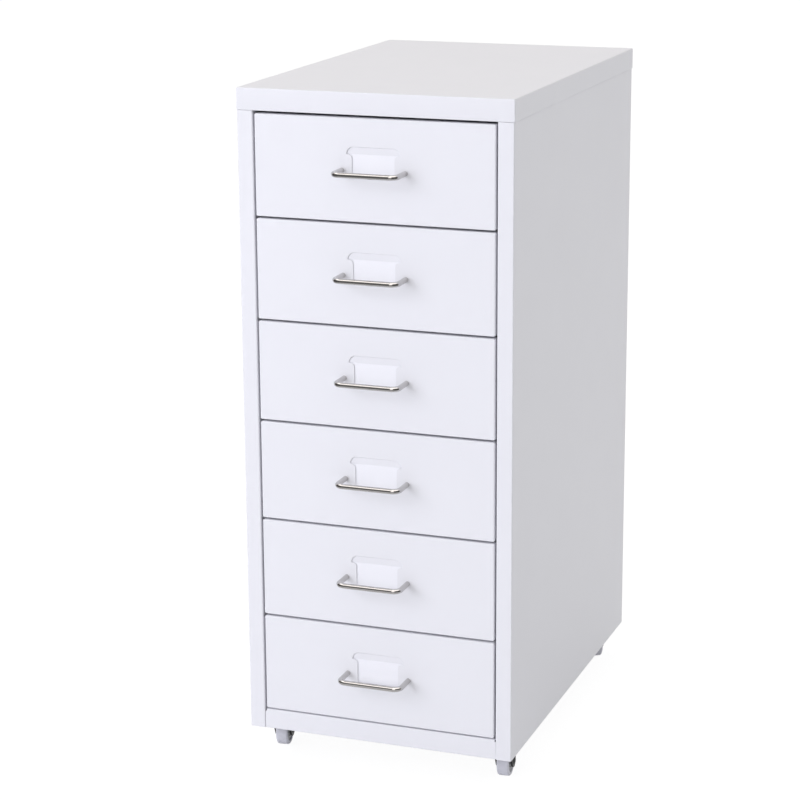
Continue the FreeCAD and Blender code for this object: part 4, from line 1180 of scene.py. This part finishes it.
class CABINET_OT_stage(bpy.types.Operator):
    """Set up the floor, the lights and the camera"""

    bl_idname = "cabinet.stage"
    bl_label = "Stage"

    def execute(self, context):
        stage = context.scene.cabinet_stage
        self.make_floor(stage)
        self.make_world(context, stage)
        # Name, place, what it faces, size of its side, power and colour.
        lamps = (
            ("Key", (-1.6, -2.8, 1.3), (0, 0, 0.32), 2.2, stage.key, stage.key_colour),
            ("Overhead", (0.2, 0.1, 2.6), (0, 0, 0.5), 2.4, stage.overhead, stage.overhead_colour),
        )
        for lamp in lamps:
            self.make_lamp(*lamp)
        self.make_camera(context)
        return {"FINISHED"}

    def seen_plainly(self, tree, path):
        """One for a ray that a camera sends, also through something clear, and zero for any other."""
        rays = {0: path.outputs["Is Camera Ray"], 1: path.outputs["Is Transmission Ray"]}
        return add(tree, "ShaderNodeMath", rays, operation="MAXIMUM").outputs[0]

    def make_floor(self, stage):
        """A wide pale floor. Cameras see it as mostly plain white with a faint shadow.

        Mirrors see painted levels on it: a painted shadow of the object, grey, close to it, white behind it,
        and painted shade of an unlit floor, dark, further in front of it. The borders follow Y less slant
        times the distance from the middle in X, so they come forward in the middle.
        """
        # For mirrors the floor glows at painted levels. The dark level is painted shade of the unlit floor in
        # front, and the grey step is a painted shadow of the object near it.
        reach, slant, dark = 60, 1.3, 0.16
        to_painted_shadow, to_white = (-1.3, -1.0, 0.54), (-0.3, 0.2, 0.3)
        material, tree = new_material("Studio floor")
        path = add(tree, "ShaderNodeLightPath")
        place = add(tree, "ShaderNodeTexCoord").outputs["Object"]
        split = add(tree, "ShaderNodeSeparateXYZ", {0: place})
        aside = add(tree, "ShaderNodeMath", {0: split.outputs["X"]}, operation="ABSOLUTE").outputs[0]
        inwards = add(tree, "ShaderNodeMath", {0: aside, 1: -slant, 2: split.outputs["Y"]},
                      operation="MULTIPLY_ADD")
        # The level that mirrors see, with its painted shadow and painted shade.
        mirrored = stepped(tree, inwards.outputs[0], dark, (to_painted_shadow, to_white))
        level = between(tree, path.outputs["Is Glossy Ray"], stage.floor_level, mirrored)
        seen = self.seen_plainly(tree, path)
        plain = add(tree, "ShaderNodeMath", {0: seen, 1: stage.floor_white}, operation="MULTIPLY")
        share = add(tree, "ShaderNodeMath", {0: plain.outputs[0], 1: path.outputs["Is Glossy Ray"]},
                    operation="MAXIMUM")
        white = add(tree, "ShaderNodeEmission", {"Strength": level})
        diffuse = add(tree, "ShaderNodeBsdfDiffuse", {"Color": linear(stage.floor)})
        both = add(tree, "ShaderNodeMixShader", {
            0: share.outputs[0], 1: diffuse.outputs[0], 2: white.outputs[0],
        })
        add(tree, "ShaderNodeOutputMaterial", {"Surface": both.outputs[0]})
        mesh = bpy.data.meshes.new("floor")
        square = [(-reach, -reach, 0), (reach, -reach, 0), (reach, reach, 0), (-reach, reach, 0)]
        mesh.from_pydata(square, [], [(0, 1, 2, 3)])
        mesh.materials.append(material)
        floor = bpy.data.objects.new("floor", mesh)
        bpy.context.scene.collection.objects.link(floor)

    def make_world(self, context, stage):
        """White behind the object, and soft grey light on it, which is weaker from low down in front.

        Mirrors see what a product studio has: white behind, a white panel beside the camera and one over it,
        grey between and above them, and a dark room in front. The borders are where a ray's direction
        crosses a value of X, Y or Z.
        """
        behind_border, height_border, back_border = (-0.35, 0.1), (0.1, 0.5), (0.0, 0.3)
        dark, over_steps = 0.04, ((0.38, 0.44, 0.56), (0.65, 0.69, 2.0), (0.87, 0.91, -2.1))
        black, beside_steps = 0.0, ((-0.46, -0.4, 0.16), (-0.18, -0.12, 1.6), (0.36, 0.42, -1.76))
        world = bpy.data.worlds.new("Studio")
        context.scene.world = world
        world.use_nodes = True
        tree = world.node_tree
        tree.nodes.clear()
        path = add(tree, "ShaderNodeLightPath")
        place = add(tree, "ShaderNodeTexCoord").outputs["Generated"]
        split = add(tree, "ShaderNodeSeparateXYZ", {0: place})
        behind = ramp(tree, split.outputs["Y"], *behind_border)
        high = ramp(tree, split.outputs["Z"], *height_border)
        lit = add(tree, "ShaderNodeMath", {0: high, 1: behind}, operation="MAXIMUM").outputs[0]
        ambient = between(tree, lit, stage.ambient_low, stage.ambient)
        soft = add(tree, "ShaderNodeBackground", {"Color": linear(WHITE), "Strength": ambient})
        over = stepped(tree, split.outputs["Z"], dark, over_steps)
        beside = stepped(tree, split.outputs["X"], black, beside_steps)
        front = add(tree, "ShaderNodeMath", {0: over, 1: beside}, operation="MAXIMUM").outputs[0]
        mirrored = between(tree, ramp(tree, split.outputs["Y"], *back_border), front, 1.0)
        mirror = add(tree, "ShaderNodeBackground", {"Color": linear(stage.mirror_tint), "Strength": mirrored})
        plain = add(tree, "ShaderNodeBackground", {"Color": linear(WHITE), "Strength": 1.0})
        light = add(tree, "ShaderNodeMixShader", {
            0: path.outputs["Is Glossy Ray"], 1: soft.outputs[0], 2: mirror.outputs[0],
        })
        every_ray = add(tree, "ShaderNodeMixShader", {
            0: self.seen_plainly(tree, path), 1: light.outputs[0], 2: plain.outputs[0],
        })
        add(tree, "ShaderNodeOutputWorld", {"Surface": every_ray.outputs[0]})

    def make_lamp(self, name, place, target, size, power, colour):
        """A square area lamp that faces a target."""
        light = bpy.data.lights.new(name, "AREA")
        light.color = linear(colour)[:3]
        light.size = size
        light.energy = power
        lamp = bpy.data.objects.new(name, light)
        lamp.visible_glossy = False
        bpy.context.scene.collection.objects.link(lamp)
        lamp.location = place
        lamp.rotation_euler = (Vector(target) - Vector(place)).to_track_quat("-Z", "Y").to_euler()

    def make_camera(self, context):
        """A camera whose axes come from its azimuth, elevation and roll.

        Its back is (sin a cos e, -cos a cos e, sin e), its level right is (cos a, sin a, 0), and up is back
        times right. The roll turns right and up about the line of sight.
        """
        view = context.scene.cabinet_camera
        a, e, r = view.azimuth, view.elevation, view.roll
        back = Vector((math.sin(a) * math.cos(e), -math.cos(a) * math.cos(e), math.sin(e)))
        right = Vector((math.cos(a), math.sin(a), 0))
        up = back.cross(right)
        turned_right = math.cos(r) * right + math.sin(r) * up
        turned_up = math.cos(r) * up - math.sin(r) * right
        data = bpy.data.cameras.new("Camera")
        data.lens = view.lens
        data.sensor_width = 36.0
        data.shift_y = view.shift
        data.clip_start, data.clip_end = 0.05, 200.0
        camera = bpy.data.objects.new("Camera", data)
        context.scene.collection.objects.link(camera)
        turn = Matrix((turned_right, turned_up, back)).transposed()
        camera.matrix_world = Matrix.Translation(view.place) @ turn.to_4x4()
        context.scene.camera = camera
        context.scene.view_settings.view_transform = "Standard"


class CABINET_PT_panel(bpy.types.Panel):
    """The operators of the cabinet, in the order in which they are run."""

    bl_label = "Drawer Cabinet"
    bl_space_type = "VIEW_3D"
    bl_region_type = "UI"
    bl_category = "Cabinet"

    def draw(self, context):
        for operator in OPERATORS:
            self.layout.operator(operator.bl_idname)


SETTINGS = {
    "cabinet_finish": CabinetFinish,
    "cabinet_sheet": CabinetSheet,
    "cabinet_drawer": CabinetDrawer,
    "cabinet_hardware": CabinetHardware,
    "cabinet_camera": CabinetCamera,
    "cabinet_stage": CabinetStage,
}
OPERATORS = (
    CABINET_OT_lid, CABINET_OT_sides, CABINET_OT_base, CABINET_OT_back, CABINET_OT_runners, CABINET_OT_trays,
    CABINET_OT_fronts, CABINET_OT_cards, CABINET_OT_handles, CABINET_OT_casters, CABINET_OT_stage,
)


def register():
    """Register the classes, and hang the settings on the scene."""
    for group in SETTINGS.values():
        bpy.utils.register_class(group)
    for name, group in SETTINGS.items():
        setattr(bpy.types.Scene, name, bpy.props.PointerProperty(type=group))
    for shown in (*OPERATORS, CABINET_PT_panel):
        bpy.utils.register_class(shown)


def unregister():
    """Take back what register did."""
    for shown in (CABINET_PT_panel, *reversed(OPERATORS)):
        bpy.utils.unregister_class(shown)
    for name in SETTINGS:
        delattr(bpy.types.Scene, name)
    for group in reversed(SETTINGS.values()):
        bpy.utils.unregister_class(group)


def main():
    """Build everything in order."""
    register()
    for operator in OPERATORS:
        group, name = operator.bl_idname.split(".")
        getattr(getattr(bpy.ops, group), name)()


if __name__ == "__main__":
    main()
